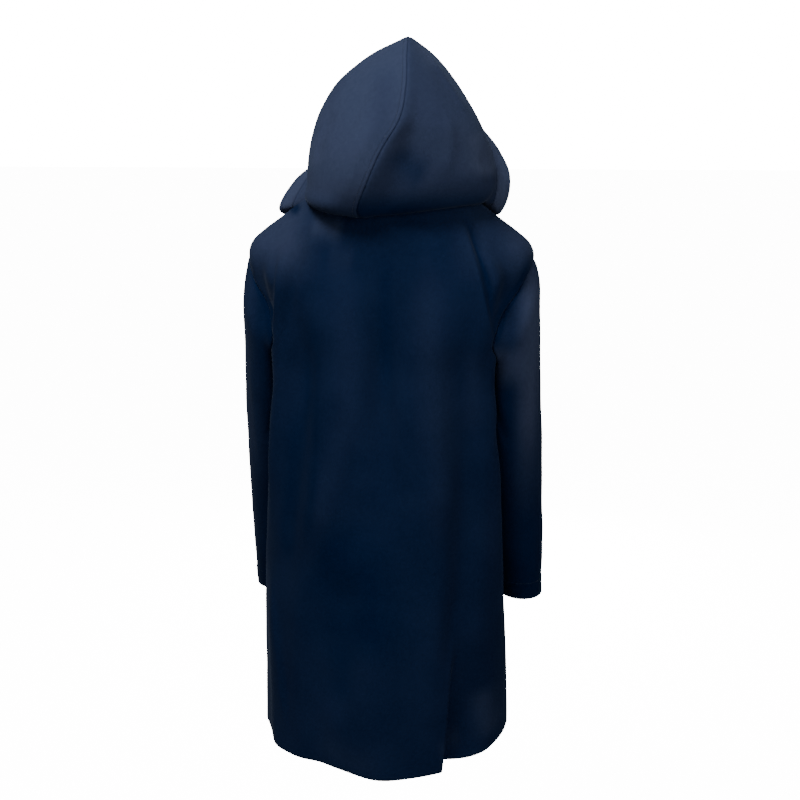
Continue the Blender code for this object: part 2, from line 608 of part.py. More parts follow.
# The tether: x and its height off the cloth on the way out, degrees round the toggle, and on the way home.
TETHER_OUT = ((LEFT_PATCH - PATCH_GAP, 0.0023), (0.0735, 0.0040), (0.0675, 0.0078), (0.0610, 0.0122))
TETHER_TURNS = np.linspace(25.0, 270.0, 12)
TETHER_HOME = ((0.0585, 0.0066), (0.0640, 0.0064), (0.0700, 0.0050), (LEFT_PATCH - PATCH_GAP, 0.0023))
FIND_STEPS = 8


def front_spot(side, x, z, height):
    """Points that stand height off a front, at x across and z up."""
    x, z = np.broadcast_arrays(np.asarray(x, float), np.asarray(z, float))
    s = np.interp(z, BODY.at(np.arange(NECK + 1))["front_z"], np.arange(NECK + 1))
    turn = HALF_TURN - SIGN[side] * np.degrees(np.arcsin(x / BODY.at(s)["width"]))
    for _ in range(FIND_STEPS):
        here = body_surface(s, SIGN[side] * turn)
        rise = (body_surface(s + NEAR, SIGN[side] * turn) - here)[..., 2] / NEAR
        run = (body_surface(s, SIGN[side] * (turn + NEAR)) - here)[..., 0] / NEAR
        s = s + (z - here[..., 2]) / rise
        turn = turn + (x - here[..., 0]) / run
    points, normals = front_surface(side, s, turn)
    return points + np.asarray(height)[..., None] * normals, normals


def patch_points(side, edge, z):
    """A leather patch from the edge that its cord leaves, away from the opening."""
    share = np.linspace(0.0, 1.0, PATCH_COLUMNS)
    x = edge + SIGN[side] * PATCH_WIDTH * share
    half = PATCH_HEIGHT / 2 * (1 - PATCH_ROUND * (2 * share - 1) ** PATCH_CORNER)
    up = np.linspace(-1.0, 1.0, PATCH_ROWS)[:, None] * half
    points, normals = front_spot(side, x, z + up, PATCH_AIR + PATCH)
    if side == "right":
        return points[:, ::-1], normals[:, ::-1]
    return points, normals


def loop_path(z):
    """The loop from the right patch over the front edge, round the tether and back."""
    half = [("right", x, LOOP_SPREAD, LOOP_LIFT) for x in LOOP_ON_RIGHT]
    half += [("left", x, LOOP_SPREAD, lift) for x, lift in LOOP_ON_LEFT]
    half += [("left", LOOP_END + LOOP_SPREAD * math.cos(a), LOOP_SPREAD * math.sin(a), LOOP_LIFT)
             for a in np.radians(LOOP_TURNS)]
    back = [(side, x, -up, lift) for side, x, up, lift in reversed(half[:-1])]
    return [front_spot(side, x, z + up, lift)[0] for side, x, up, lift in half + back]


def toggle_seat(z):
    """Where a toggle's middle is, with the directions left, off the cloth and up there."""
    middle, off = front_spot("left", TOGGLE_X, z, TOGGLE_OUT)
    up = unit(front_spot("left", TOGGLE_X, z + NEAR, TOGGLE_OUT)[0] - middle)
    left = unit(np.cross(up, off))
    return middle, left, np.cross(left, up), up


def tether_path(z):
    """The tether from the left patch over the toggle's front, round its waist and back behind it."""
    middle, left, off, up = toggle_seat(z)
    out = [front_spot("left", x, z + TETHER_SPREAD, lift)[0] for x, lift in TETHER_OUT]
    home = [front_spot("left", x, z - TETHER_SPREAD, lift)[0] for x, lift in TETHER_HOME]
    drop = np.linspace(TETHER_SPREAD, -TETHER_SPREAD, len(TETHER_TURNS))
    wrap = [middle + WRAP * (math.cos(a) * left + math.sin(a) * off) + d * up
            for a, d in zip(np.radians(TETHER_TURNS), drop)]
    return out + wrap + home


# ---------------------------------------------------------------- Blender objects

def clear_scene():
    for thing in list(bpy.data.objects):
        bpy.data.objects.remove(thing)


def add_material(name, colour, roughness):
    material = bpy.data.materials.new(name)
    material.use_nodes = True
    shader = material.node_tree.nodes["Principled BSDF"]
    shader.inputs["Base Color"].default_value = (*colour, 1.0)
    shader.inputs["Roughness"].default_value = roughness
    shader.inputs["Metallic"].default_value = 0.0
    return material


def add_mesh(name, mesh, material):
    data = bpy.data.meshes.new(name)
    mesh.to_mesh(data)
    mesh.free()
    data.shade_smooth()
    data.materials.append(add_material(name, *material))
    thing = bpy.data.objects.new(name, data)
    COAT.objects.link(thing)
    return thing


def add_cord(name, points, radius):
    curve = bpy.data.curves.new(name, "CURVE")
    curve.dimensions = "3D"
    curve.bevel_depth = radius
    curve.bevel_resolution = CORD_ROUNDING
    curve.use_fill_caps = True
    path = curve.splines.new("POLY")
    path.points.add(len(points) - 1)
    for spot, point in zip(path.points, points):
        spot.co = (*point, 1.0)
    curve.materials.append(add_material(name, *CORD))
    COAT.objects.link(bpy.data.objects.new(name, curve))


def add_turned(name, profile, middle, axis, material):
    """A shape turned round its own axis, from (radius, height) points that run down its outer side."""
    data = bpy.data.meshes.new(name)
    data.from_pydata([(radius, 0.0, height) for radius, height in profile],
                     [(k, k + 1) for k in range(len(profile) - 1)], [])
    data.materials.append(add_material(name, *material))
    thing = bpy.data.objects.new(name, data)
    COAT.objects.link(thing)
    thing.location = middle
    thing.rotation_euler = Vector(axis).to_track_quat("Z", "Y").to_euler()
    screw = thing.modifiers.new("turned", "SCREW")
    screw.steps = TURNED_STEPS
    screw.render_steps = TURNED_STEPS
    screw.use_merge_vertices = True
    screw.merge_threshold = TURNED_MERGE


clear_scene()
COAT = bpy.data.collections.new("duffle_coat")
bpy.context.scene.collection.children.link(COAT)


def build_cloth():
    back, back_normals = back_panel()
    fronts = {side: front_panel(side) for side in SIGN}
    hoods = {side: hood_points(side) for side in SIGN}
    walls = [Wall("back", "body", back, "first last high", back_normals)]
    for side in SIGN:
        sewn = "first" if side == "left" else "last"
        front, front_normals = fronts[side]
        walls.append(Wall("front_" + side, "body", front, sewn + " high", front_normals))
        loop = armhole_loop(side, back, front)
        body_out = armhole_loop(side, back_normals, front_normals)
        walls.append(Wall("sleeve_" + side, "sleeve", sleeve_points(side, loop, body_out), "high", ring=True))
        walls.append(Wall("hood_" + side, "hood", hoods[side], "low high first last"))
    walls.append(Wall("hood_band", "band", band_points(hoods), "low first last"))
    sewn_normals = share_normals(walls)
    for wall, normals in zip(walls, sewn_normals):
        wall.pull_in()
        wall.normals = normals
        wall.build(MELTON)


def build_closures():
    for number, z in enumerate(CLOSURES, 1):
        for side, edge in (("right", RIGHT_PATCH), ("left", LEFT_PATCH)):
            points, normals = patch_points(side, edge, z)
            Wall(f"patch_{side}_{number}", "patch", points, "", normals, thick=PATCH).build(LEATHER)
        add_cord(f"loop_{number}", loop_path(z), LOOP_RADIUS)
        add_cord(f"tether_{number}", tether_path(z), TETHER_RADIUS)
        middle, _, _, up = toggle_seat(z)
        add_turned(f"toggle_{number}", TOGGLE, middle, up, HORN)


build_cloth()
build_closures()
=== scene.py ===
# %% [markdown]
# # A duffle coat with nobody in it
# The coat is navy melton, a thick wool cloth that is woven, shrunk and brushed until no weave
# shows. It keeps the shape of a wearer: shoulders out, hood up, sleeves hanging. This lesson dresses
# the packed model of the coat with fine cloth, stitches, horn toggles, leather and cord.
#
# The packed model is the frame. It comes in first, and every new piece rides on it and stands for
# one of its nodes, so the look can't drift away from the measured shape.

# %% The tools and the packed coat
import math

import bmesh
import bpy
import numpy as np
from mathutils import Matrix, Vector


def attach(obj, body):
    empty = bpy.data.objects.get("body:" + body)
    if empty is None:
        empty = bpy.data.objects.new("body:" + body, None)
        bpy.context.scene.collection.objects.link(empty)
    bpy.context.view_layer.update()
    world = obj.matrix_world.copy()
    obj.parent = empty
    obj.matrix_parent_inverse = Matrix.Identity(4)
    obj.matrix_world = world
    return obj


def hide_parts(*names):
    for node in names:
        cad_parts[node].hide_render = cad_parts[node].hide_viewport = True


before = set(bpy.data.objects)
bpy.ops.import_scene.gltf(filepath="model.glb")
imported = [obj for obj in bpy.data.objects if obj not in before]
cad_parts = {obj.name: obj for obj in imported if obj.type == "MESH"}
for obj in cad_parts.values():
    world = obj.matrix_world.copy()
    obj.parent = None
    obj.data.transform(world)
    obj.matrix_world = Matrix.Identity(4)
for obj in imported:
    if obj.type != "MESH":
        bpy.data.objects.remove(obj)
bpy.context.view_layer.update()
print("nodes in the packed coat:", len(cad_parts))

# %% [markdown]
# ## The camera
# It stands behind the coat at about two metres, a little to the wearer's right of the middle, and
# looks slightly down. The lens is long enough to keep the sleeves straight. The floor, the lamps and
# the finish of each piece are judged through it, so it is made before them.

# %% The camera
camera = bpy.data.objects.new("camera", bpy.data.cameras.new("camera"))
bpy.context.scene.collection.objects.link(camera)
camera.location = (-0.2498, 2.0347, 0.14)
camera.rotation_euler = (math.radians(77.0), 0.0, math.radians(187.0))
camera.data.sensor_width = 36.0
camera.data.lens = 54.9
camera.data.shift_x = 0.0125
camera.data.shift_y = -0.00125
bpy.context.scene.camera = camera
print("camera", round((camera.location - Vector((0, 0, -0.34))).length, 3), "m from the coat's middle")

# %% [markdown]
# ## Finishes
# Each finish is a tree of nodes. Written one node at a time a tree is hard to read, so a small class
# wraps a socket: sums and products of wrapped sockets become Math nodes, and the formula for a
# surface stays on one line. A Math node turns a colour grey, so colours are mixed with a Mix node.

# %% A link that can be added and multiplied
class Link:
    """The output of a node. Arithmetic on it adds Math nodes to its material."""

    def __init__(self, finish, socket):
        self.finish = finish
        self.socket = socket

    def math(self, operation, *values):
        return self.finish.add("ShaderNodeMath", {"operation": operation}, dict(enumerate(values)))

    def __add__(self, other):
        return self.math("ADD", self, other)

    def __sub__(self, other):
        return self.math("SUBTRACT", self, other)

    def __rsub__(self, other):
        return self.math("SUBTRACT", other, self)

    def __mul__(self, other):
        return self.math("MULTIPLY", self, other)

    def __truediv__(self, other):
        return self.math("DIVIDE", self, other)

    def __neg__(self):
        return self.math("MULTIPLY", self, -1.0)

    __radd__ = __add__
    __rmul__ = __mul__

    def bell(self, spread):
        """1 where the value is 0, and almost nothing past twice the spread."""
        share = self / spread
        return self.math("EXPONENT", -(share * share))

    def ease(self, low, high):
        """0 below low, 1 above high, and smooth between."""
        return self.finish.add("ShaderNodeMapRange", {"interpolation_type": "SMOOTHSTEP"},
                               {"Value": self, "From Min": low, "From Max": high})


print("besides arithmetic, a link has", [name for name in vars(Link) if not name.startswith("_")])

# %% A finish
class Finish:
    """A material that is being built. add() makes any node, from its settings and then its sockets."""

    def __init__(self, name, **constants):
        self.material = bpy.data.materials.new(name)
        self.material.use_nodes = True
        self.tree = self.material.node_tree
        self.shader = self.tree.nodes["Principled BSDF"]
        for socket, value in constants.items():
            self.shader.inputs[socket.replace("_", " ")].default_value = value
        self.place = self.add("ShaderNodeTexCoord", {}, {}, "Object")

    def join(self, socket, value):
        if isinstance(value, Link):
            self.tree.links.new(value.socket, socket)
        else:
            socket.default_value = value

    def add(self, kind, settings, sockets, out=0):
        """A node of any kind. Its settings are made first, and then its sockets are filled or linked."""
        node = self.tree.nodes.new(kind)
        for name, value in settings.items():
            setattr(node, name, value)
        for name, value in sockets.items():
            self.join(node.inputs[name], value)
        return Link(self, node.outputs[out])

    def scaled(self, scale, place=None):
        """Coordinates stretched by a scale on each axis."""
        return self.add("ShaderNodeMapping", {}, {"Vector": place or self.place, "Scale": scale})

    def noise(self, scale, detail=2.0, roughness=0.5, place=None):
        """Cloudy noise about 0.5, with scale features to a metre."""
        return self.add("ShaderNodeTexNoise", {}, {"Vector": place or self.place, "Scale": scale,
                                                    "Detail": detail, "Roughness": roughness})

    def attribute(self, name):
        return self.add("ShaderNodeAttribute", {"attribute_name": name}, {}, "Fac")

    def mix(self, share, start, end, how="MIX"):
        """A colour between start and end."""
        settings = {"data_type": "RGBA", "blend_type": how}
        return self.add("ShaderNodeMix", settings, {0: share, 6: start, 7: end}, 2)

    def done(self, colour, roughness, height):
        """Joins colour, roughness and a height in metres to the shader."""
        self.join(self.shader.inputs["Base Color"], colour)
        self.join(self.shader.inputs["Roughness"], roughness)
        bump = self.add("ShaderNodeBump", {}, {"Height": height, "Distance": 1.0, "Strength": 1.0},
                        "Normal")
        self.join(self.shader.inputs["Normal"], bump)
        print("finish", self.material.name, "has", len(self.tree.nodes), "nodes")
        return self.material


# %% [markdown]
# ### Melton
# Up close melton is a mat of short fibres that lie mostly downwards, with a few paler hairs on top.
# From two metres only its unevenness shows: a tone that drifts, and edges that are a little paler
# where they have been rubbed. It has no gloss, but the nap catches light at a glance, which is sheen.
# Each cloth piece carries three distances in metres: seam to its sewn edges, rim to its free edges,
# and line to its rows of stitching. The finish reads them to sink the seams and the stitched lines.
# A fourth value carries the nap together with painted light and shade: it says how far the colour goes
# from navy to a paler blue-grey.

# %% Melton
NAVY = (0.0017, 0.0060, 0.0215, 1.0)
NAVY_PALE = (0.0043, 0.0104, 0.0320, 1.0)
NAVY_DEEP = (0.0009, 0.0042, 0.0165, 1.0)
# The paler blue-grey of the nap and of painted light.
NAVY_NAP_AND_LIGHT = (0.0270, 0.0350, 0.0650, 1.0)


def melton():
    finish = Finish("navy_melton", Sheen_Weight=0.04, Sheen_Roughness=0.40,
                    Sheen_Tint=(0.50, 0.62, 0.85, 1.0), Specular_IOR_Level=0.0)
    downwards = finish.scaled((1.0, 1.0, 0.38))
    fibres = finish.noise(1150.0, 3.0, 0.62, downwards)
    hairs = finish.noise(620.0, 2.0, 0.5, downwards)
    mottle = finish.noise(120.0, 3.0, 0.55)
    tone = finish.noise(9.0, 2.0)
    faded = finish.attribute("faded")
    seam = finish.attribute("seam")
    rim = finish.attribute("rim")
    line = finish.attribute("line")
    colour = finish.mix(mottle.ease(0.20, 0.80) * 0.5 + 0.3, NAVY_DEEP, NAVY)
    colour = finish.mix(tone.ease(0.35, 0.68) * 0.35, colour, NAVY_PALE)
    colour = finish.mix(hairs.ease(0.60, 0.78) * 0.30, colour, NAVY_PALE)
    # Painted light and shade, together with the paler nap: the higher the value, the nearer the navy
    # goes to a paler blue-grey.
    colour = finish.mix(faded * (0.67 + mottle * 0.26), colour, NAVY_NAP_AND_LIGHT)
    colour = finish.mix(rim.bell(0.0035) * 0.45, colour, NAVY_PALE)
    colour = finish.mix(seam.bell(0.0012) * 0.3 + line.bell(0.0009) * 0.15, colour, NAVY_DEEP)
    height = fibres * 0.00016 + mottle * 0.00030
    height = height - seam.bell(0.0016) * 0.0006 - line.bell(0.0014) * 0.00032
    return finish.done(colour, 0.90 + mottle * 0.1, height)


MELTON = melton()

# %% [markdown]
# ### Thread, leather, horn and cord
# Thread is a navy near to the melton's, and its twist shows as short pale and dark spots. The leather
# is dark, pebbled and rubbed at its edges. Horn is streaked along its length and polished, so it alone
# here has a clear gloss. The cord is a hard-twisted rope of dark cotton. Each could be painted on its
# piece by hand. Noise in metres needs no painting, and keeps its size on any piece.

# %% Thread
THREAD_DARK = (0.0030, 0.0070, 0.0180, 1.0)
THREAD_PALE = (0.0120, 0.0210, 0.0420, 1.0)


def thread():
    finish = Finish("navy_thread", Sheen_Weight=0.1, Specular_IOR_Level=0.10)
    twist = finish.noise(1600.0, 1.0)
    colour = finish.mix(twist.ease(0.35, 0.65), THREAD_DARK, THREAD_PALE)
    return finish.done(colour, 0.55 + twist * 0.2, twist * 0.00006)


THREAD = thread()


# %% Leather
HIDE_DARK = (0.0090, 0.0050, 0.0032, 1.0)
HIDE_BROWN = (0.0200, 0.0108, 0.0066, 1.0)
HIDE_RUBBED = (0.0600, 0.0380, 0.0260, 1.0)
HIDE_DEEP = (0.0045, 0.0028, 0.0020, 1.0)


def leather():
    finish = Finish("dark_leather", Specular_IOR_Level=0.20)
    pebbles = finish.add("ShaderNodeTexVoronoi", {"feature": "SMOOTH_F1"},
                         {"Vector": finish.place, "Scale": 780.0, "Smoothness": 0.35}, "Distance")
    pores = finish.noise(2400.0, 2.0)
    wear = finish.noise(60.0, 3.0)
    rim = finish.attribute("rim")
    line = finish.attribute("line")
    colour = finish.mix(wear.ease(0.3, 0.7), HIDE_DARK, HIDE_BROWN)
    colour = finish.mix(rim.bell(0.0010) * 0.6, colour, HIDE_RUBBED)
    colour = finish.mix(pebbles.ease(0.0, 0.5) * 0.35, colour, HIDE_DEEP)
    height = pores * 0.00004 - pebbles * 0.00022 - line.bell(0.0006) * 0.00035
    return finish.done(colour, 0.42 + wear * 0.2 + pebbles * 0.1, height)


LEATHER = leather()


# %% Horn
HORN_DARK = (0.0170, 0.0080, 0.0045, 1.0)
HORN_BROWN = (0.1150, 0.0600, 0.0270, 1.0)
HORN_PALE = (0.2600, 0.1650, 0.0850, 1.0)


def horn():
    finish = Finish("streaked_horn", Coat_Roughness=0.12, Coat_Weight=0.35, Subsurface_Weight=0.08,
                    Subsurface_Radius=(0.004, 0.002, 0.001), IOR=1.55)
    along = finish.scaled((1.0, 1.0, 0.09))
    streaks = finish.noise(330.0, 4.0, 0.6, along)
    clouds = finish.noise(55.0, 2.0)
    grain = finish.noise(1900.0, 2.0, 0.5, along)
    colour = finish.mix(streaks.ease(0.34, 0.66), HORN_DARK, HORN_BROWN)
    colour = finish.mix(clouds.ease(0.50, 0.75) * 0.7, colour, HORN_PALE)
    return finish.done(colour, 0.22 + streaks * 0.18, grain * 0.00003 + streaks * 0.00006)


HORN = horn()


# %% Cord
COTTON_GROOVE_SHADE = (0.0025, 0.0035, 0.0070, 1.0)
COTTON_DARK = (0.0150, 0.0190, 0.0300, 1.0)
COTTON_FIBRE = (0.0300, 0.0360, 0.0500, 1.0)


def cotton():
    finish = Finish("cotton_cord", Sheen_Weight=0.3, Specular_IOR_Level=0.25)
    ply = finish.attribute("line")
    fibres = finish.noise(2600.0, 2.0)
    # Painted shade in the grooves between the strands.
    colour = finish.mix(ply.ease(0.0, 1.0), COTTON_GROOVE_SHADE, COTTON_DARK)
    colour = finish.mix(fibres.ease(0.5, 0.8) * 0.3, colour, COTTON_FIBRE)
    return finish.done(colour, 0.75 + fibres * 0.2, fibres * 0.00006)


CORD = cotton()

# %% [markdown]
# ## The form of the coat
# The packed model was lofted from tables, and the same tables are used here on a much finer grid. So
# each fine piece lies in its solid, and the seams meet without any fitting. A row of a table is one
# ring of the coat, and a smooth curve runs through the rows.

# %% Sizes and small tools for surfaces
CLOTH = 0.003          # thickness of the melton
LAP = 0.030            # how far each front runs past the centre line
LAP_AIR = 0.0015       # air between the two fronts where they lap
HALF_TURN = 180.0
QUARTER = 90.0
SIGN = {"left": 1.0, "right": -1.0}


def unit(vectors):
    return vectors / np.linalg.norm(vectors, axis=-1, keepdims=True)


def measured(line):
    """The length of a line of points."""
    return np.linalg.norm(np.diff(line, axis=0), axis=1).sum()


def grid_normals(points, ring=False):
    """Outward normals of a grid whose rows run up and whose columns run to the wearer's left."""
    along = np.gradient(points, axis=0)
    if ring:
        across = np.roll(points, -1, axis=1) - np.roll(points, 1, axis=1)
    else:
        across = np.gradient(points, axis=1)
    return unit(np.cross(along, across))


class Sections:
    """The rows of a loft. at(s) reads every column at row s, between rows on a smooth curve."""

    def __init__(self, columns, *rows):
        self.names = columns.split()
        self.values = np.array(rows, float)
        self.last = len(rows) - 1
        self.slopes = np.gradient(self.values, axis=0)

    def at(self, s):
        s = np.clip(np.asarray(s, float), 0.0, self.last)
        i = np.minimum(s.astype(int), self.last - 1)
        t = (s - i)[..., None]
        value = (self.values[i] * (2 * t**3 - 3 * t**2 + 1) + self.slopes[i] * (t**3 - 2 * t**2 + t)
                 + self.values[i + 1] * (3 * t**2 - 2 * t**3) + self.slopes[i + 1] * (t**3 - t**2))
        return {name: value[..., k] for k, name in enumerate(self.names)}


def ease(t):
    """0 below 0, 1 above 1, and smooth between."""
    t = np.clip(t, 0.0, 1.0)
    return t * t * (3 - 2 * t)


def past(value, start, reach):
    """0 until the value comes to start, 1 once it is a reach further, and smooth between."""
    return ease((value - start) / reach)


def bell(t):
    """1 at 0 and almost nothing past 2."""
    return np.exp(-t * t)


print(f"the cloth is {CLOTH * 1000:.0f} mm thick, and the fronts lap by {2 * LAP * 1000:.0f} mm")

# %% [markdown]
# ### The body
# A body panel is a part of one tall tube, and a turn is an angle round it from the centre back. Its
# folds are long soft bells added to the tube. One fold at the wearer's right is deeper: there the
# cloth turns under itself and comes out behind, which a bell can't do, so it swings the turn instead.

# %% The body's rings
# From hem to neck. width is at the side seam, back and front are depths at the centre lines, and each of
# the three has its own height. shift is the ring's middle, and square is 2 for an ellipse and more for
# a box.
BODY = Sections(
    "width  back   front  side_z  back_z  front_z shift  square",
    (0.2190, 0.206, 0.168, -0.921, -0.940, -0.920, 0.006, 2.00),   # hem
    (0.2180, 0.199, 0.165, -0.801, -0.814, -0.800, 0.006, 2.05),
    (0.2165, 0.190, 0.161, -0.684, -0.691, -0.682, 0.006, 2.15),   # thigh
    (0.2110, 0.178, 0.157, -0.562, -0.565, -0.561, 0.005, 2.25),
    (0.2040, 0.164, 0.152, -0.440, -0.440, -0.440, 0.004, 2.35),   # hip
    (0.1930, 0.151, 0.147, -0.335, -0.335, -0.335, 0.005, 2.40),   # waist
    (0.1880, 0.141, 0.141, -0.255, -0.262, -0.258, 0.005, 2.40),   # underarm
    (0.2090, 0.137, 0.136, -0.183, -0.220, -0.215, 0.001, 2.35),
    (0.2275, 0.133, 0.131, -0.126, -0.183, -0.178, 0.001, 2.25),
    (0.2390, 0.128, 0.126, -0.088, -0.150, -0.150, 0.000, 2.20),   # end of the dropped shoulder
    (0.2330, 0.122, 0.122, -0.064, -0.120, -0.127, 0.000, 2.15),
    (0.2130, 0.114, 0.117, -0.045, -0.090, -0.108, 0.000, 2.10),
    (0.1800, 0.105, 0.111, -0.021, -0.060, -0.090, 0.000, 2.05),
    (0.1430, 0.095, 0.105,  0.006, -0.030, -0.072, 0.000, 2.00),
    (0.1120, 0.086, 0.100,  0.026, -0.007, -0.058, 0.000, 2.00),
    (0.0880, 0.078, 0.095,  0.036,  0.012, -0.045, 0.000, 2.00),   # neck seam
)
UNDERARM = 6           # rows of the table where the armhole starts and ends
SHOULDER = 9
NECK = BODY.last
HEM_Z = -0.94
NEAR = 0.01            # a small step along a row or a turn, to find the slope of the surface
print("rings from hem to neck:", len(BODY.values))

# %% The folds of the body
# Folds and hollows. Angles are degrees from the centre back, + to the wearer's left. A fold starts at
# the height top, is deepest at full, and is gone again at end.
FOLDS = [
    # name                top_at low_at  spread  depth    top    full    end
    ("arm hollow left",      98,  122,    27,  -0.060, -0.215, -0.320, -1.000),
    ("arm hollow right",    -98, -122,    26,  -0.058, -0.215, -0.320, -1.000),
    ("side ridge left",      54,   83,     9,   0.013, -0.130, -0.280, -0.800),
    ("side ridge right",    -58,  -83,     9,   0.013, -0.140, -0.280, -0.800),
    ("pleat ridge left",     42,   76,     6,   0.007, -0.040, -0.140, -0.500),
    ("pleat ridge right",   -40,  -78,     6,   0.008,  0.000, -0.120, -0.500),
    ("pleat dip left",       57,  100,     7,  -0.009, -0.040, -0.120, -0.280),
    ("pleat dip right",     -52, -100,     7,  -0.010,  0.000, -0.110, -0.300),
    ("left valley",          38,   46,    10,  -0.013, -0.080, -0.280, -0.760),
    ("left roll",            15,   40,    10,   0.009, -0.080, -0.420, -1.100),
    ("middle valley",        -2,   -9,     8,  -0.010, -0.060, -0.280, -0.640),
    ("right roll",          -22,  -32,    10,   0.009, -0.100, -0.400, -1.100),
    ("deep valley",         -45,  -38,     9,  -0.013, -0.260, -0.480, -1.200),
    ("hem ridge left",       54,   52,     7,   0.009, -0.560, -0.800, -1.400),
    ("hem valley",           24,   28,     9,  -0.011, -0.480, -0.720, -1.400),
    ("hem roll",             -4,   -2,    10,   0.007, -0.560, -0.800, -1.400),
    ("front roll left",     150,  146,    12,   0.007, -0.200, -0.600, -1.300),
    ("front roll right",   -148, -150,    13,   0.008, -0.200, -0.640, -1.300),
    ("front valley left",   130,  128,     9,  -0.006, -0.300, -0.700, -1.300),
    ("front valley right", -128, -130,     9,  -0.006, -0.300, -0.740, -1.300),
]

# The lapped fold at the right of the back, where the cloth turns under and comes out behind itself.
LAPPED = {"top": -0.690, "full": -0.930, "top_at": -40.4, "low_at": -31.0,
          "depth": 0.036, "turn": 3.4, "lap": 4.0, "recovers": 26.0}

# The hem isn't level: each wave has its angle, its spread and how far it lifts the cloth at the hem.
HEM_WAVES = [(17.0, 15.0, 0.010), (-46.0, 12.0, -0.005), (66.0, 9.0, 0.010)]
WAVE_ROWS = 2.5        # rows above the hem over which the waves die away
print("folds and hollows:", len(FOLDS), "and waves in the hem:", len(HEM_WAVES))


# %% The body's surface
def hem_lift(s, turn):
    lift = sum(rise * bell((turn - at) / spread) for at, spread, rise in HEM_WAVES)
    return lift * (1 - ease(s / WAVE_ROWS))


def lapped_fold_turn(z):
    down = np.clip((LAPPED["top"] - z) / (LAPPED["top"] - HEM_Z), 0, 1)
    return LAPPED["top_at"] + (LAPPED["low_at"] - LAPPED["top_at"]) * down


def fold_push(z, turn):
    """How far the folds move the cloth outwards."""
    push = np.zeros_like(z)
    for _, top_at, low_at, spread, depth, top, full, end in FOLDS:
        at = top_at + (low_at - top_at) * np.clip((top - z) / (top - HEM_Z), 0, 1)
        strength = ease((z - top) / (full - top)) * ease((z - end) / (full - end))
        push = push + depth * strength * bell((turn - at) / spread)
    return push


def body_surface(s, turn):
    """Points of the coat's outside at row s and turn degrees from the centre back."""
    s, turn = np.broadcast_arrays(np.asarray(s, float), np.asarray(turn, float))
    row = BODY.at(s)
    height_at = np.cos(np.radians(turn))
    own_z = np.where(height_at > 0, row["back_z"], row["front_z"])
    z = row["side_z"] + (own_z - row["side_z"]) * height_at ** 2 + hem_lift(s, turn)
    away = turn - lapped_fold_turn(z)
    folded = ease((LAPPED["top"] - z) / (LAPPED["top"] - LAPPED["full"]))
    width = LAPPED["turn"]
    lip = bell(away / width - 0.8) - bell(away / width + 0.8)
    angle = np.radians(turn - LAPPED["lap"] * folded * lip)
    sunk = ease(0.5 - away / (2 * width)) * ease(1 + (away + width) / LAPPED["recovers"])
    push = fold_push(z, turn) - LAPPED["depth"] * folded * sunk
    across, along = np.sin(angle), np.cos(angle)
    square = row["square"]
    reach = (np.abs(across) ** square + np.abs(along) ** square) ** (-1 / square)
    depth = np.where(along > 0, row["back"], row["front"])
    x = row["shift"] + (row["width"] * reach + push) * across
    return np.stack([x, (depth * reach + push) * along, z], axis=-1)


def body_normals(s, turn):
    up = body_surface(s + NEAR, turn) - body_surface(s - NEAR, turn)
    left = body_surface(s, turn + NEAR) - body_surface(s, turn - NEAR)
    return unit(np.cross(up, left))


ring = body_surface(UNDERARM, np.linspace(-HALF_TURN, HALF_TURN, 361))
print(f"the coat is {measured(ring):.3f} m round at the underarm")

# %% [markdown]
# ### The hood
# The hood is two halves sewn together over the head. Each row is one rib from the middle seam round
# the cheek to the face, and the ribs climb from the neck over the head to the brow.

# %% The hood's ribs
# From the neck seam over the head to the brow. Each row is one rib, from the middle seam (sway across)
# round the widest point at the side (shift is the rib's middle) to the edge of the face opening.
HOOD = Sections(
    "seam_y seam_z sway shift side_x side_y side_z "
    "left_x left_y left_z right_x right_y right_z ridge hang",
    (0.0783, 0.0125, 0.0, 0.0, 0.088, 0.0, 0.0365,
     0.03, -0.09, -0.04, 0.03, -0.09, -0.04, 0.0, 0.0),
    (0.093, 0.0, 0.01, 0.0, 0.112, 0.0, 0.0345,
     0.085, -0.092, -0.03, 0.08, -0.092, -0.025, 0.0, 0.002),
    (0.11, -0.014, 0.032, -0.003, 0.13, 0.0, 0.029,
     0.154, -0.07, -0.018, 0.134, -0.07, -0.007, 0.0, 0.01),
    (0.129, 0.0, 0.037, -0.011, 0.147, 0.0, 0.035,
     0.183, -0.038, -0.009, 0.158, -0.042, 0.0, 0.0, 0.026),
    (0.144, 0.04, 0.02, -0.018, 0.155, -0.002, 0.052,
     0.172, -0.052, 0.032, 0.156, -0.048, 0.04, 0.03, 0.018),
    (0.146, 0.09, -0.003, -0.015, 0.151, -0.01, 0.078,
     0.144, -0.074, 0.07, 0.149, -0.066, 0.084, 0.08, 0.006),
    (0.138, 0.14, -0.032, -0.012, 0.144, -0.02, 0.108,
     0.12, -0.086, 0.108, 0.134, -0.08, 0.116, 0.15, 0.0),
    (0.116, 0.19, -0.039, -0.008, 0.129, -0.032, 0.145,
     0.107, -0.096, 0.145, 0.116, -0.092, 0.148, 0.26, 0.0),
    (0.078, 0.236, -0.036, -0.006, 0.108, -0.05, 0.18,
     0.092, -0.102, 0.168, 0.094, -0.1, 0.17, 0.38, 0.0),
    (0.03, 0.264, -0.033, -0.01, 0.081, -0.068, 0.205,
     0.078, -0.106, 0.184, 0.08, -0.104, 0.186, 0.44, 0.0),
    (-0.03, 0.26, -0.03, -0.014, 0.058, -0.084, 0.218,
     0.066, -0.108, 0.196, 0.068, -0.106, 0.197, 0.44, 0.0),
    (-0.088, 0.244, -0.024, -0.016, 0.038, -0.096, 0.222,
     0.054, -0.108, 0.203, 0.056, -0.107, 0.204, 0.38, 0.0),
)
HOOD_END = 152.0       # where the hood's neck edge stops, in degrees from the centre back
WIDEST = QUARTER / HOOD_END   # share of a rib between the seam and its widest point
LOW_RIBS = 3.0         # rows below which a rib lies along the shoulder
NECK_FADE = 1.6        # rows over which the hood leaves the line of the neck seam
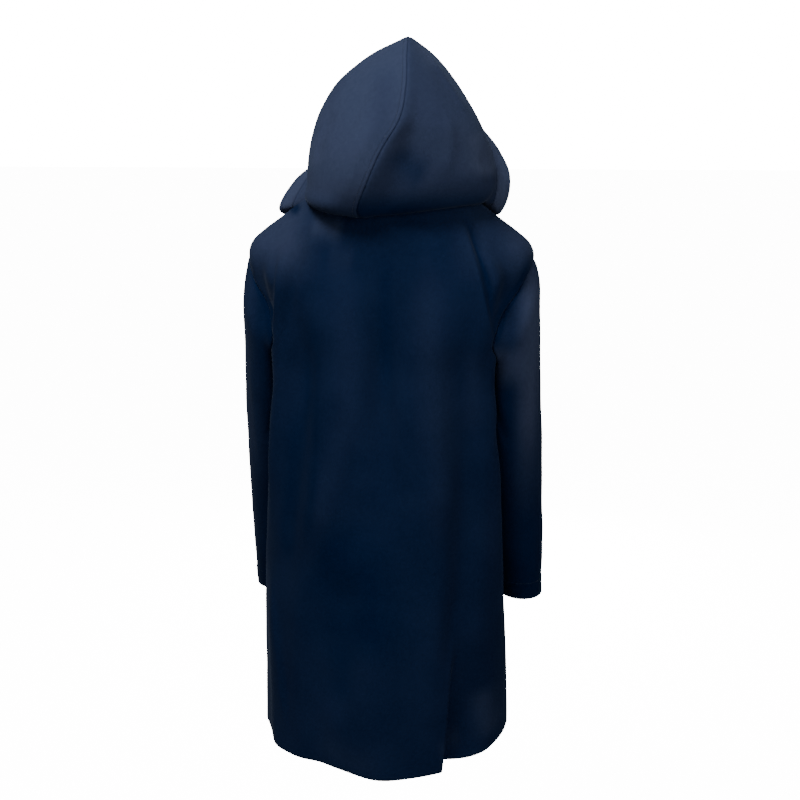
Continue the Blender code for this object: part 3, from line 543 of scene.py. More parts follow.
# How much of its hang each side takes, and how late round the rib it starts, as the power of a sine.
HANG = {"left": (0.55, 2), "right": (1.0, 6)}
HOOD_HEART = np.array([-0.01, 0.01, 0.08])   # the middle of the hollow, which creases push away from
print("ribs from neck to brow:", len(HOOD.values))

# %% The hood's large creases
# Creases of the hood: across is the share of a rib from the seam, rib the row of the table.
CREASES = [
    # name          side    across  rib   spread  reach   depth
    ("tuck",       "right",  0.08,  4.2,  0.080,  1.6,  -0.016),
    ("seam roll",  "left",   0.10,  5.0,  0.080,  1.6,   0.006),
    ("cheek roll", "right",  0.42,  5.6,  0.120,  1.4,   0.006),
    ("nape roll",  "right",  0.36,  3.2,  0.160,  0.9,   0.004),
]
print("large creases of the hood:", [crease[0] for crease in CREASES])

# %% The band's directions
# The band turned out round the face: from the neck up to the brow, the way it points on each side.
BAND_WIDTH = 0.026
BAND_STRIPS = 11
BAND = Sections(
    "left_out left_fore left_up right_out right_fore right_up",
    (0.10, 0.85, -0.40, 0.10, 0.85, -0.40),
    (0.30, 0.80, -0.45, 0.30, 0.80, -0.40),
    (0.65, 0.60, -0.50, 0.50, 0.75, -0.40),
    (0.90, 0.20, -0.16, 0.42, 0.50, -0.62),
    (0.76, 0.55, 0.05, 0.85, 0.50, 0.00),
    (0.20, 0.95, 0.05, 0.50, 0.80, 0.00),
    (0.00, 1.00, 0.05, 0.20, 0.95, 0.00),
    (-0.10, 1.00, 0.05, -0.10, 1.00, 0.00),
    (-0.10, 1.00, 0.10, -0.10, 1.00, 0.10),
    (-0.05, 1.00, 0.15, -0.05, 1.00, 0.15),
    (0.00, 1.00, 0.20, 0.00, 1.00, 0.20),
    (0.00, 1.00, 0.25, 0.00, 1.00, 0.25),
)
print(f"the band is {BAND_WIDTH * 1000:.0f} mm wide")

# %% The hood's surface
# The fine grid: its rows, the distances in metres of its first columns from the middle seam, and how
# many columns follow them.
HOOD_ROWS = np.concatenate([np.linspace(0.0, 0.12, 4), np.linspace(0.2, 4.0, 58),
                            np.linspace(4.07, 10.9, 96), (10.95, 11.0)])
HOOD_NEAR = (0.0, 0.0015, 0.0030, 0.0045, 0.0056, 0.0065, 0.0074, 0.0090, 0.0115, 0.0150)
HOOD_COLUMNS = 92
RIB_STEPS = 60         # points along a rib that its length is measured by
SEAM_CLEAR = 0.08      # share of a rib beside the seam in which the creases die away


def hood_rib(side, s, across):
    row = HOOD.at(s)
    to_side = np.radians(QUARTER) * np.clip(across / WIDEST, 0, 1)
    to_front = np.radians(QUARTER) * np.clip((across - WIDEST) / (1 - WIDEST), 0, 1)
    side_x = row["shift"] + SIGN[side] * row["side_x"]
    front_x = row["shift"] + SIGN[side] * row[side + "_x"]
    drop = (1 - row["ridge"]) * np.cos(to_side) + row["ridge"] * (1 - np.sin(to_side))
    x = row["sway"] + (side_x - row["sway"]) * np.sin(to_side)
    x = x + (front_x - side_x) * (1 - np.cos(to_front))
    fore = np.sin(to_front)
    y = row["side_y"] + (row["seam_y"] - row["side_y"]) * drop
    y = y + (row[side + "_y"] - row["side_y"]) * fore
    level = 1 - ease(s / LOW_RIBS)
    drop = drop * (1 - level * (1 - drop))
    fore = fore * (1 - level * (1 - fore))
    z = row["side_z"] + (row["seam_z"] - row["side_z"]) * drop
    z = z + (row[side + "_z"] - row["side_z"]) * fore
    share, late = HANG[side]
    z = z - row["hang"] * share * np.sin(to_side) ** late * (1 - fore)
    return np.stack([x, y, z], axis=-1)


def hood_surface(side, s, across):
    """Points of the hood's outside at row s, with across from 0 at the middle seam to 1 at the face."""
    s, across = np.broadcast_arrays(np.asarray(s, float), np.asarray(across, float))
    points = hood_rib(side, s, across)
    push = np.zeros_like(s)
    for _, where, at, rib, spread, reach, depth in CREASES:
        if where == side:
            push = push + depth * bell((across - at) / spread) * bell((s - rib) / reach)
    push = push * ease(across / SEAM_CLEAR)
    points = points + push[..., None] * unit(points - HOOD_HEART)
    neck = body_surface(np.full_like(s, NECK), SIGN[side] * across * HOOD_END)
    off_neck = neck - hood_rib(side, np.zeros_like(s), across)
    return points + off_neck * (1 - ease(s / NECK_FADE))[..., None]


middle_seam = hood_surface("left", HOOD_ROWS, 0.0)
print(f"the hood's middle seam is {measured(middle_seam):.3f} m long")

# %% [markdown]
# ### The sleeves
# A sleeve is a stack of rings from the armhole to the cuff. Its first rings grow out of the line of
# the armhole, so the sleeve and the body share that line exactly.

# %% The sleeves' rings
# From the armhole to the cuff. outer_z and inner_z are a ring's heights away from and beside the body.
# On each side, left_x or right_x is how far out its middle is, and left_half or right_half is half its
# width.
SLEEVE = Sections(
    "outer_z inner_z left_x left_half right_x right_half centre_y half_y",
    (-0.175, -0.290, 0.2140, 0.0380, 0.2110, 0.0420, -0.008, 0.078),
    (-0.260, -0.350, 0.2130, 0.0410, 0.2100, 0.0455, -0.016, 0.072),
    (-0.370, -0.422, 0.2145, 0.0435, 0.2120, 0.0485, -0.030, 0.065),   # elbow
    (-0.480, -0.502, 0.2155, 0.0440, 0.2165, 0.0480, -0.047, 0.060),
    (-0.597, -0.603, 0.2160, 0.0430, 0.2225, 0.0445, -0.069, 0.055),
    (-0.708, -0.704, 0.2205, 0.0400, 0.2295, 0.0400, -0.092, 0.051),   # cuff
)
CAP_ROWS = 26          # rows of the grid between the armhole and the first ring of the table
CAP_PUFF = 0.030       # how strongly the sleeve first stands out from the body at its armhole
SLEEVE_ROWS = 120      # rows of the grid from there to the cuff


def sleeve_ring(side, s, angle):
    """A ring of the sleeve, with angle from the side beside the body round by the back."""
    row = SLEEVE.at(s)
    x = row[side + "_x"] - row[side + "_half"] * np.cos(angle)
    y = row["centre_y"] + row["half_y"] * np.sin(angle)
    z = row["inner_z"] + (row["outer_z"] - row["inner_z"]) * (1 - np.cos(angle)) / 2
    return np.stack([SIGN[side] * x, y, z], axis=-1)


for side in SIGN:
    cuff = sleeve_ring(side, SLEEVE.last, np.linspace(0.0, 2 * math.pi, 361))
    print(f"the {side} cuff is {measured(cuff):.3f} m round")

# %% [markdown]
# ### Rows and columns
# A grid that is too even would cut across the armhole and smear the lapped fold. So the rows crowd
# together where they meet the armhole, and the columns crowd along the fold.

# %% Rows of the panels
BACK_BITE = 46.0           # degrees that the armhole bites into each panel
FRONT_BITE = 42.0
ARMHOLE_CORNER = 0.40      # share of its height in which the bite rounds out from the underarm
ARMHOLE_BOW = 0.85         # 1 for a straight line from there up to the shoulder, less for a fuller one
ARMHOLE_ROWS = (0.0, 0.015, 0.05, 0.11, 0.20, 0.32, 0.45, 0.58, 0.71, 0.84, 0.94, 1.0)
ROWS_BELOW = 120
ROWS_BESIDE = 64
ROWS_ABOVE = 40


def armhole_bite(s):
    """0 where the armhole starts and ends, and nearly 1 in its lower corner."""
    t = np.clip((s - UNDERARM) / (SHOULDER - UNDERARM), 0.0, 1.0)
    corner = 1 - np.clip(t / ARMHOLE_CORNER, 0.0, 1.0)
    return (1 - t) ** ARMHOLE_BOW * np.sqrt(1 - corner * corner)


def body_rows():
    """The rows of a panel: where they meet its side, and where they would lie if they were even."""
    below = np.linspace(0.0, UNDERARM, ROWS_BELOW + 1)[:-1]
    steps = np.linspace(0, len(ARMHOLE_ROWS) - 1, ROWS_BESIDE)
    share = np.interp(steps, np.arange(len(ARMHOLE_ROWS)), ARMHOLE_ROWS)
    beside = UNDERARM + share * (SHOULDER - UNDERARM)
    above = np.linspace(SHOULDER, NECK, ROWS_ABOVE + 1)[1:]
    even = np.linspace(UNDERARM, SHOULDER, ROWS_BESIDE)
    return np.concatenate([below, beside, above]), np.concatenate([below, even, above])


def fanned(turns, far):
    """The rows at each turn: even at the centre line far, and crowded where they meet the armhole."""
    at_side, even = body_rows()
    side = np.abs(turns[:, -1:] if far == 0 else turns[:, :1])
    share = np.clip((np.abs(turns) - far) / (side - far), 0, 1) ** 2
    return even[:, None] + (at_side - even)[:, None] * share


print("rows of a panel:", len(body_rows()[0]))

# %% Columns of the panels
FOLD_REACH = 2.2           # how far the crowded columns run each side of the fold, in its own turns
FOLD_ROWS = (0.7, 0.3)     # the fold's own rows are this much even, and this much as at the side
EDGE_STRIP = 9.0           # degrees kept between the armhole and those columns
BACK_COLUMNS = (48, 28, 28, 84)   # right of the fold, along it, on to the centre, and the left half
FRONT_COLUMNS = (42, 24)   # as far as the hood's end, and from there to the front edge
EDGE_SHARES = (0.0, 0.28, 0.62)   # where an edge column and two more stand in the first step


def stations(start, end, count, closing=False):
    """count columns from start towards end, for every row at once."""
    return np.linspace(start, end, count + 1, axis=-1)[:, :None if closing else -1]


def back_turns():
    """The turns of the back's columns, row by row, closer together along the lapped fold."""
    at_side, even = body_rows()
    reach = QUARTER - BACK_BITE * armhole_bite(at_side)
    rows = FOLD_ROWS[0] * even + FOLD_ROWS[1] * at_side
    fold = lapped_fold_turn(BODY.at(rows)["back_z"])
    near = LAPPED["turn"] * FOLD_REACH
    fold = np.maximum(fold, near + EDGE_STRIP - reach)
    middle = np.zeros_like(reach)
    right_of, along, left_of, left_half = BACK_COLUMNS
    return np.concatenate([stations(-reach, fold - near, right_of),
                           stations(fold - near, fold + near, along),
                           stations(fold + near, middle, left_of),
                           stations(middle, reach, left_half, True)], axis=1)


def front_turns():
    """The turns of a front's columns, row by row, from the side to past the centre line."""
    at_side, even = body_rows()
    reach = QUARTER + FRONT_BITE * armhole_bite(at_side)
    hood_end = np.full_like(reach, HOOD_END)
    end = HALF_TURN + lap_turn(even)
    beside, beyond = FRONT_COLUMNS
    return np.concatenate([stations(reach, hood_end, beside),
                           stations(hood_end, end, beyond, True)], axis=1)


def lap_turn(s):
    """How far each front's edge is past the centre line, in degrees."""
    row = BODY.at(s)
    return np.degrees(np.arcsin((LAP - row["shift"]) / row["width"]))


def tight(turns):
    """The same columns with two more close to each edge, so that a seam can sink sharply."""
    first, second, last, before = turns[:, :1], turns[:, 1:2], turns[:, -1:], turns[:, -2:-1]
    start = [first + (second - first) * share for share in EDGE_SHARES]
    end = [last + (before - last) * share for share in reversed(EDGE_SHARES)]
    return np.concatenate([*start, turns[:, 1:-1], *end], axis=1)


print("columns of the back:", tight(back_turns()).shape[1])
print("columns of each front:", tight(front_turns()).shape[1])


# %% Distances over a panel
EDGES = {"low": (0, 1), "high": (0, -1), "first": (1, 1), "last": (1, -1)}   # axis, and which end
FAR = 1.0                  # the distance that stands for no such edge


def distance_from(points, edge):
    """How far each point is from an edge of its grid, measured along the cloth."""
    axis, way = EDGES[edge]
    steps = np.linalg.norm(np.diff(points, axis=axis), axis=-1)
    zero = np.zeros_like(np.take(steps, [0], axis=axis))
    if way > 0:
        return np.concatenate([zero, np.cumsum(steps, axis=axis)], axis=axis)
    return np.flip(np.concatenate([zero, np.cumsum(np.flip(steps, axis), axis=axis)], axis=axis), axis)


def nearest(points, edges):
    """The least distance to any of the named edges."""
    if not edges:
        return np.full(points.shape[:2], FAR)
    return np.min([distance_from(points, edge) for edge in edges], axis=0)


side_seam = body_surface(np.linspace(0.0, UNDERARM, 61)[:, None], np.array([QUARTER, QUARTER + NEAR]))
print(f"the side seam is {distance_from(side_seam, 'low')[-1, 0]:.3f} m long")


# %% The outside of each body panel
def back_panel():
    turns = tight(back_turns())
    rows = fanned(turns, 0.0)
    return body_surface(rows, turns), body_normals(rows, turns)


def front_surface(side, s, turn):
    """Points and normals of a front's outside. The left one sinks to run under the right one."""
    points = body_surface(s, SIGN[side] * turn)
    normals = body_normals(s, SIGN[side] * turn)
    if side == "right":
        return points, normals
    under = ease((turn - HOOD_END) / (HALF_TURN - lap_turn(s) - HOOD_END))
    return points - ((CLOTH + LAP_AIR) * under)[..., None] * normals, normals


def front_panel(side):
    """A front from the side seam to its edge."""
    turns = tight(front_turns())
    points, normals = front_surface(side, fanned(turns, HALF_TURN), turns)
    if side == "right":
        return points[:, ::-1], normals[:, ::-1]
    return points, normals


back, back_out = back_panel()
fronts = {side: front_panel(side) for side in SIGN}
print("back grid", back.shape[:2], "front grid", fronts["left"][0].shape[:2])


# %% The outside of each sleeve
def armhole_loop(side, back_grid, front_grid):
    """The armhole's values, from the underarm up the back to the shoulder and down the front."""
    first = ROWS_BELOW
    last = first + ROWS_BESIDE
    back_edge = back_grid[first:last, -1 if side == "left" else 0]
    front_edge = front_grid[first:last, 0 if side == "left" else -1]
    return np.concatenate([back_edge, front_edge[-2:0:-1]])


def loop_angles(loop):
    """Angles round the sleeve for its armhole's points, with half a turn at the shoulder."""
    ends = np.concatenate([loop, loop[:1]])
    arc = np.concatenate([[0.0], np.cumsum(np.linalg.norm(np.diff(ends, axis=0), axis=1))])
    top = ROWS_BESIDE - 1
    up = arc[:top + 1] / arc[top]
    down = (arc[top + 1:-1] - arc[top]) / (arc[-1] - arc[top])
    return math.pi * np.concatenate([up, 1 + down])


def sleeve_points(side):
    """A sleeve from the cuff up to the armhole, as rings of one column for each point of the armhole."""
    loop = armhole_loop(side, back, fronts[side][0])
    body_out = armhole_loop(side, back_out, fronts[side][1])
    angle = loop_angles(loop)
    rings = [sleeve_ring(side, s, angle) for s in np.linspace(SLEEVE.last, 0.0, SLEEVE_ROWS + 1)]
    first = rings[-1]
    leave = (sleeve_ring(side, 0.5, angle) - first) * 2
    start_way = first - loop + CAP_PUFF * body_out
    for t in np.linspace(1.0, 0.0, CAP_ROWS + 1)[1:]:
        start = loop * (2 * t**3 - 3 * t**2 + 1) + start_way * (t**3 - 2 * t**2 + t)
        rings.append(start + first * (3 * t**2 - 2 * t**3) + leave * (t**3 - t**2))
    points = np.array(rings)
    return points if side == "left" else points[:, ::-1]


sleeves = {side: sleeve_points(side) for side in SIGN}
print("sleeve grid", sleeves["left"].shape[:2])


# %% The outside of each half of the hood, and of the band
def hood_points(side):
    """A half of the hood, with its first columns at set distances in metres from the middle seam."""
    ribs = hood_surface(side, HOOD_ROWS[:, None], np.linspace(0.0, 1.0, RIB_STEPS))
    length = distance_from(ribs, "first")[:, -1:]
    near = np.array(HOOD_NEAR) / length
    rest = near[:, -1:] + (1 - near[:, -1:]) * np.linspace(0.0, 1.0, HOOD_COLUMNS)[1:]
    points = hood_surface(side, HOOD_ROWS[:, None], np.concatenate([near, rest], axis=1))
    return points if side == "left" else points[:, ::-1]


def band_points(strips):
    """The band round the face, from the right end of the neck over the brow to the left end."""
    left, right = hoods["left"][:, -1], hoods["right"][:, 0]
    brow = np.concatenate([hoods["left"][-1, ::-1], hoods["right"][-1, ::-1][1:]])
    way = {}
    row = BAND.at(HOOD_ROWS)
    for side in SIGN:
        out, fore, up = (row[side + way_off] for way_off in ("_out", "_fore", "_up"))
        way[side] = np.stack([SIGN[side] * out, -fore, up], axis=-1)
    sewn = np.concatenate([left[:-1], brow, right[-2::-1]])
    top = np.repeat(way["left"][-1:], len(brow), axis=0)
    outwards = unit(np.concatenate([way["left"][:-1], top, way["right"][-2::-1]]))
    shares = np.linspace(0.0, 1.0, strips)
    return (sewn + outwards * BAND_WIDTH * shares[:, None, None])[:, ::-1]


hoods = {side: hood_points(side) for side in SIGN}
band = band_points(BAND_STRIPS)
print("hood grid", hoods["left"].shape[:2], "band grid", band.shape[:2])

# %% [markdown]
# ## Creases
# The tables carry the big folds. What makes cloth look like cloth is smaller: the creases that a
# worn and hung coat keeps. Melton is too thick for sharp ones, so each crease is a soft trough or
# ridge along a path, steeper on one side than on the other, and it dies away at both ends. They are
# placed one by one, in the coat's own sizes. A simulation would put them wherever it liked.
#
# The nap of brushed wool also lies paler in one place and darker in another, with no change of form,
# and painted light and shade are laid on the cloth the same way. The same soft strokes along paths
# serve for both, as an amount that is added to the fourth value of the melton.

# %% A crease along a path
def smooth_path(path, steps=12):
    """A path through the given points, with round corners."""
    path = np.array(path, float)
    spans = len(path) - 1
    rows = Sections(" ".join("abc"[:path.shape[1]]), *path).at(np.linspace(0, spans, steps * spans + 1))
    return np.stack(list(rows.values()), axis=-1)


END_FADE = 0.3         # share of a path in which a crease rises at its start and dies at its end


def crease_push(places, path, depth, spread, lean, away):
    """How far one crease moves each place. lean from -1 to 1 makes one of its sides steeper."""
    path = smooth_path(path)
    best = np.full(places.shape[:-1], np.inf)
    along = np.zeros(places.shape[:-1])
    side = np.zeros(places.shape[:-1])
    steps = np.linalg.norm(np.diff(path, axis=0), axis=1)
    passed = np.concatenate([[0.0], np.cumsum(steps)])
    for start, end, length, done in zip(path[:-1], path[1:], steps, passed):
        ahead = (end - start) / length
        offset = places - start
        t = np.clip(offset @ ahead, 0, length)
        off = offset - t[..., None] * ahead
        gap = np.linalg.norm(off, axis=-1)
        nearer = gap < best
        best = np.where(nearer, gap, best)
        along = np.where(nearer, (done + t) / passed[-1], along)
        if places.shape[-1] == 2:
            turned = ahead[0] * off[..., 1] - ahead[1] * off[..., 0]
        else:
            turned = (np.cross(ahead, off) * away).sum(axis=-1)
        side = np.where(nearer, np.sign(turned), side)
    fade = ease(along / END_FADE) * ease((1 - along) / END_FADE)
    return depth * fade * bell(best / (spread * (1 + lean * side)))


def all_creases(places, creases, away=None):
    push = np.zeros(places.shape[:-1])
    for crease in creases:
        push = push + crease_push(places, *crease, away)
    return push


def nap_and_shading_strokes(places, strokes):
    """Strokes of (path, amount, spread): above nought paler nap and painted light, below it painted
    shade.
    """
    return all_creases(places, [(path, amount, spread, 0.0) for path, amount, spread in strokes])


def rippled(points, size):
    """A low unevenness that runs on across the seams."""
    x, y, z = points[..., 0], points[..., 1], points[..., 2]
    wave = np.sin(31 * x + 17 * z + 1.3) * np.sin(23 * z - 11 * y + 0.7)
    wave = wave + 0.6 * np.sin(67 * x - 29 * z + 2.1) * np.sin(19 * y + 41 * z)
    return size * wave


ripple = rippled(back, 1.0)
print(f"the unevenness of the back runs from {ripple.min():.2f} to {ripple.max():.2f} of its size")

# %% [markdown]
# ## Walls of cloth
# Melton is 3 mm thick, and the coat is seen from inside too: up from the hem, into the hood and the
# cuffs. So each panel is a closed wall: the outer skin, an inner skin one thickness behind it, and a
# rim between them that rounds out on a free edge and stays flat on a sewn one.

# %% The edges of a grid
def rim_path(rows, columns, ring):
    """The edges of a grid as closed paths of (row, column)."""
    low = [(0, c) for c in range(columns)]
    high = [(rows - 1, c) for c in reversed(range(columns))]
    if ring:
        return [low, high]
    last = [(r, columns - 1) for r in range(1, rows - 1)]
    first = [(r, 0) for r in reversed(range(1, rows - 1))]
    return [low + last + high + first]


def outwards_at(points, free):
    """Directions off the free edges, along the cloth. They are nought on a sewn edge."""
    away = np.zeros_like(points)
    if "low" in free:
        away[0] += unit(points[0] - points[2])
    if "high" in free:
        away[-1] += unit(points[-1] - points[-3])
    if "first" in free:
        away[:, 0] += unit(points[:, 0] - points[:, 2])
    if "last" in free:
        away[:, -1] += unit(points[:, -1] - points[:, -3])
    return away


print("spots round the edge of the back:", len(rim_path(*back.shape[:2], False)[0]))

# %% A wall from a grid of points
RIM_SHARES = (0.22, 0.5, 0.78)   # where the rows of a rim lie between the two skins
RIM_BULGE = 0.45       # how far a free edge rounds out, in thicknesses


def wall(name, points, inner, free, material, ring=False, **fields):
    """A closed wall between an outer and an inner grid. free names the edges that aren't sewn."""
    rows, columns = points.shape[:2]
    count = rows * columns
    index = np.arange(count).reshape(rows, columns)
    right = np.roll(index, -1, axis=1)
    a, b, c, d = index[:-1], index[1:], right[1:], right[:-1]
    if not ring:
        a, b, c, d = (part[:, :-1] for part in (a, b, c, d))
    skin = np.stack([a, b, c, d], axis=-1).reshape(-1, 4)
    faces = [skin, skin[:, ::-1] + count]
    spots = [points.reshape(-1, 3), inner.reshape(-1, 3)]
    origin = [index.reshape(-1), index.reshape(-1)]
    away = outwards_at(points, free)
    start = 2 * count
    for path in rim_path(rows, columns, ring):
        at = tuple(np.array(path).T)
        loops = [index[at]]
        for share in RIM_SHARES:
            bulge = RIM_BULGE * math.sin(math.pi * share)
            across = inner[at] - points[at]
            spots.append(points[at] + across * share
                         + away[at] * bulge * np.linalg.norm(across, axis=-1, keepdims=True))
            origin.append(index[at])
            loops.append(start + np.arange(len(path)))
            start += len(path)
        loops.append(index[at] + count)
        for near, far in zip(loops, loops[1:]):
            faces.append(np.stack([near, np.roll(near, -1), np.roll(far, -1), far], axis=-1))
    mesh = bpy.data.meshes.new(name)
    mesh.from_pydata(np.concatenate(spots), [], np.concatenate(faces))
    mesh.shade_smooth()
    sewn = np.zeros(start, bool)
    for path in rim_path(rows, columns, ring):
        at = tuple(np.array(path).T)
        flat = np.linalg.norm(away[at], axis=-1) < 0.5
        sewn[index[at][flat]] = True
        sewn[index[at][flat] + count] = True
    ends = np.array([edge.vertices[:] for edge in mesh.edges])
    sharp = mesh.attributes.new("sharp_edge", "BOOLEAN", "EDGE")
    sharp.data.foreach_set("value", sewn[ends].all(axis=1))
    origin = np.concatenate(origin)
    for kind, usual in (("seam", FAR), ("rim", FAR), ("line", FAR), ("faded", 0.0)):
        values = fields.get(kind)
        values = np.full(count, usual) if values is None else values.reshape(-1)
        layer = mesh.attributes.new(kind, "FLOAT", "POINT")
        layer.data.foreach_set("value", values[origin].astype(np.float32))
    mesh.materials.append(material)
    piece = bpy.data.objects.new(name, mesh)
    bpy.context.scene.collection.objects.link(piece)
    print(f"{name}: {len(mesh.polygons)} faces")
    return piece


# %% A panel of melton
PUFF = 0.0011          # how high the cloth stands beside a sewn seam
PUFF_RISE = 0.0045     # distances from the seam: where it stands its highest,
PUFF_TOP = 0.005       # where it starts to sink again,
PUFF_FALL = 0.018      # and over how much more it goes flat
CALM = 0.016           # the distance from a seam in which the creases die away
SEWN_SHARE = 0.6       # share of the thickness that a seam leaves
SEWN_REACH = 0.010     # how far from the seam the cloth is thinned


def panel(name, points, out, free, push, faded, ring=False, line=None, welt=None):
    """A cloth panel with its creases pushed in, its seams sunk and its wall thinned where it is sewn."""
    every = ("low", "high") if ring else ("low", "high", "first", "last")
    sewn = [edge for edge in every if edge not in free]
    seam = nearest(points, sewn)
    rim = nearest(points, [edge for edge in every if edge in free])
    fade = ease(seam / CALM)
    puff = PUFF * (ease(seam / PUFF_RISE) - past(seam, PUFF_TOP, PUFF_FALL))
    puff = puff if welt is None else np.maximum(welt, puff)
    moved = points + (push * fade + puff)[..., None] * out
    thickness = CLOTH * (SEWN_SHARE + (1 - SEWN_SHARE) * ease(seam / SEWN_REACH))
    thickness = thickness if welt is None else thickness + welt
    inner = moved - thickness[..., None] * out
    piece = wall(name, moved, inner, free, MELTON, ring, seam=seam, rim=rim, faded=faded,
                 line=None if line is None else np.abs(line))
    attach(piece, "root")
    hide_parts(name.replace("_cloth", ""))
    return piece, moved


print(f"a seam leaves {CLOTH * SEWN_SHARE * 1000:.1f} mm of the cloth's thickness")

# %% [markdown]
# ### Where the creases are
# Places on the body are (across, up) from the neck, seen from behind with + to the wearer's left.
# Each line gives its path, then how far it moves the cloth, how wide it is and how it leans.

# %% Creases of the body
BACK_CREASES = [
    # path, depth, spread, lean
    (((-0.108, 0.008), (-0.132, -0.043), (-0.156, -0.112), (-0.174, -0.209), (-0.180, -0.330),
      (-0.182, -0.450)), 0.0060, 0.011, 0.66),
    (((-0.120, 0.008), (-0.144, -0.043), (-0.168, -0.112), (-0.184, -0.200)), -0.0070, 0.007, -0.2),
    (((0.160, -0.050), (0.170, -0.100), (0.178, -0.170), (0.186, -0.270), (0.192, -0.420),
      (0.198, -0.560)), 0.0048, 0.010, -0.62),
    (((0.172, -0.060), (0.181, -0.100), (0.188, -0.160), (0.194, -0.220)), -0.0052, 0.007, 0.2),
    (((0.122, -0.020), (0.131, -0.049), (0.143, -0.110), (0.160, -0.190), (0.168, -0.260)),
     -0.0058, 0.014, 0.3),
    (((0.056, -0.100), (0.045, -0.229), (0.050, -0.340), (0.088, -0.470), (0.116, -0.600)),
     0.0060, 0.026, 0.1),
    (((-0.094, -0.110), (-0.090, -0.357), (-0.108, -0.560)), 0.0050, 0.026, 0.0),
    (((-0.012, -0.030), (-0.006, -0.278), (-0.020, -0.500)), -0.0070, 0.020, 0.2),
    (((0.044, -0.560), (0.056, -0.700), (0.074, -0.860)), -0.0070, 0.026, 0.0),
    (((0.196, -0.600), (0.184, -0.700), (0.172, -0.800), (0.160, -0.925)), 0.0040, 0.010, 0.4),
    (((-0.128, -0.610), (-0.120, -0.700), (-0.116, -0.780)), -0.0030, 0.012, 0.3),
]
FRONT_CREASES = {
    "left": [
        (((0.150, -0.110), (0.125, -0.260), (0.118, -0.420)), -0.0026, 0.014, 0.3),
        (((0.160, -0.330), (0.166, -0.520), (0.172, -0.760)), 0.0026, 0.014, -0.2),
        (((0.110, -0.640), (0.116, -0.780), (0.120, -0.930)), -0.0028, 0.013, 0.2),
    ],
    "right": [
        (((-0.148, -0.105), (-0.122, -0.250), (-0.112, -0.400)), -0.0028, 0.015, -0.3),
        (((-0.155, -0.360), (-0.163, -0.560), (-0.160, -0.740)), 0.0026, 0.014, 0.2),
        (((-0.090, -0.660), (-0.098, -0.800), (-0.104, -0.930)), -0.0030, 0.014, 0.2),
    ],
}

print("creases on the back:", len(BACK_CREASES))
print("creases on each front:", [len(creases) for creases in FRONT_CREASES.values()])

# %% [markdown]
# ### Where the nap and painted light make the cloth paler, and painted shade darker
# Melton is dyed one navy, but its nap never lies the same way all over. Where it stands up or is
# rubbed it looks paler, and where it is pressed flat, as beside a seam, it looks darker. The same value
# also carries painted light and painted shade: light on the shoulders, the sleeves' outer sides, the
# left half of the hood and its band, and under the hood's left side where its shadow falls; shade under
# the flap, along the armholes, low on the hood and in the soft folds of the back. A noise would spread
# that evenly. Listed strokes put each band in its own place: a path in the places above, then how much
# is added to the value, and how wide it is. So the painted light and shade stay there when the lamps
# move.

# %% Nap, painted light and painted shade of the body
BODY_NAP = 0.07        # how faded the body is between the strokes
SHOULDER_NAP_AND_LIGHT = {"left": 0.60, "right": 0.20}   # paler nap and painted light that the shoulders add
SHOULDER_END_NAP_AND_LIGHT = 0.26                        # and the right one's outer end adds to that
# Where each starts and over how much it grows: outwards for the end, outwards and upwards for both.
SHOULDER_END = (0.17, 0.05)
SHOULDER_ACROSS = (0.09, 0.08)
SHOULDER_UP = (-0.14, 0.09)
# Painted light and shade of the back's soft folds, together with its nap.
BACK_NAP_AND_SHADING = [
    # path, amount, spread
    (((0.128, -0.026), (0.105, -0.030), (0.080, -0.034), (0.058, -0.037)), 0.42, 0.020),
    (((0.092, -0.078), (0.070, -0.080), (0.040, -0.084)), 0.09, 0.022),
    (((0.205, -0.090), (0.210, -0.150), (0.200, -0.260)), 0.14, 0.022),
    (((0.120, -0.140), (0.112, -0.194), (0.113, -0.312), (0.114, -0.474), (0.124, -0.580)),
     -0.12, 0.014),
    (((0.140, -0.300), (0.142, -0.420), (0.154, -0.520), (0.166, -0.620)), -0.09, 0.018),
    (((0.062, -0.080), (0.052, -0.180), (0.050, -0.300), (0.066, -0.385), (0.090, -0.470)), 0.05, 0.022),
    (((0.068, -0.385), (0.090, -0.467), (0.108, -0.549), (0.128, -0.630)), 0.05, 0.018),
    (((-0.006, -0.050), (-0.008, -0.188), (-0.012, -0.330)), -0.06, 0.012),
    (((-0.118, 0.000), (-0.143, -0.043), (-0.166, -0.112), (-0.180, -0.190)), -0.22, 0.006),
    (((-0.072, -0.060), (-0.078, -0.188), (-0.084, -0.302), (-0.088, -0.430)), 0.10, 0.024),
    (((-0.100, -0.200), (-0.106, -0.302), (-0.096, -0.560)), 0.06, 0.018),
    (((-0.146, -0.210), (-0.148, -0.290), (-0.148, -0.370)), 0.07, 0.014),
    (((0.070, -0.480), (0.050, -0.620), (0.030, -0.760)), -0.09, 0.070),
    (((0.060, -0.700), (0.062, -0.820)), -0.06, 0.024),
    (((0.205, -0.640), (0.212, -0.761), (0.219, -0.890)), 0.18, 0.014),
    (((0.110, -0.885), (0.040, -0.910), (-0.020, -0.915)), 0.09, 0.022),
    (((-0.168, -0.800), (-0.180, -0.860), (-0.194, -0.915)), 0.28, 0.022),
    (((-0.100, -0.900), (-0.140, -0.895)), 0.14, 0.018),
]
# Painted shade along the armholes.
ARMHOLE_SHADE = {
    "left": [(((0.234, -0.070), (0.222, -0.124), (0.194, -0.171), (0.186, -0.234)), -0.18, 0.006)],
    "right": [(((-0.234, -0.070), (-0.222, -0.124), (-0.193, -0.171), (-0.180, -0.234)), -0.36, 0.006)],
}
# A painted shadow under the hood's flap, on the shoulder.
UNDER_FLAP_SHADOW = [(((0.190, 0.004), (0.165, -0.006), (0.140, -0.010)), -0.80, 0.008)]


def flat_map(points):
    """(across, up) of each point."""
    return points[..., [0, 2]]


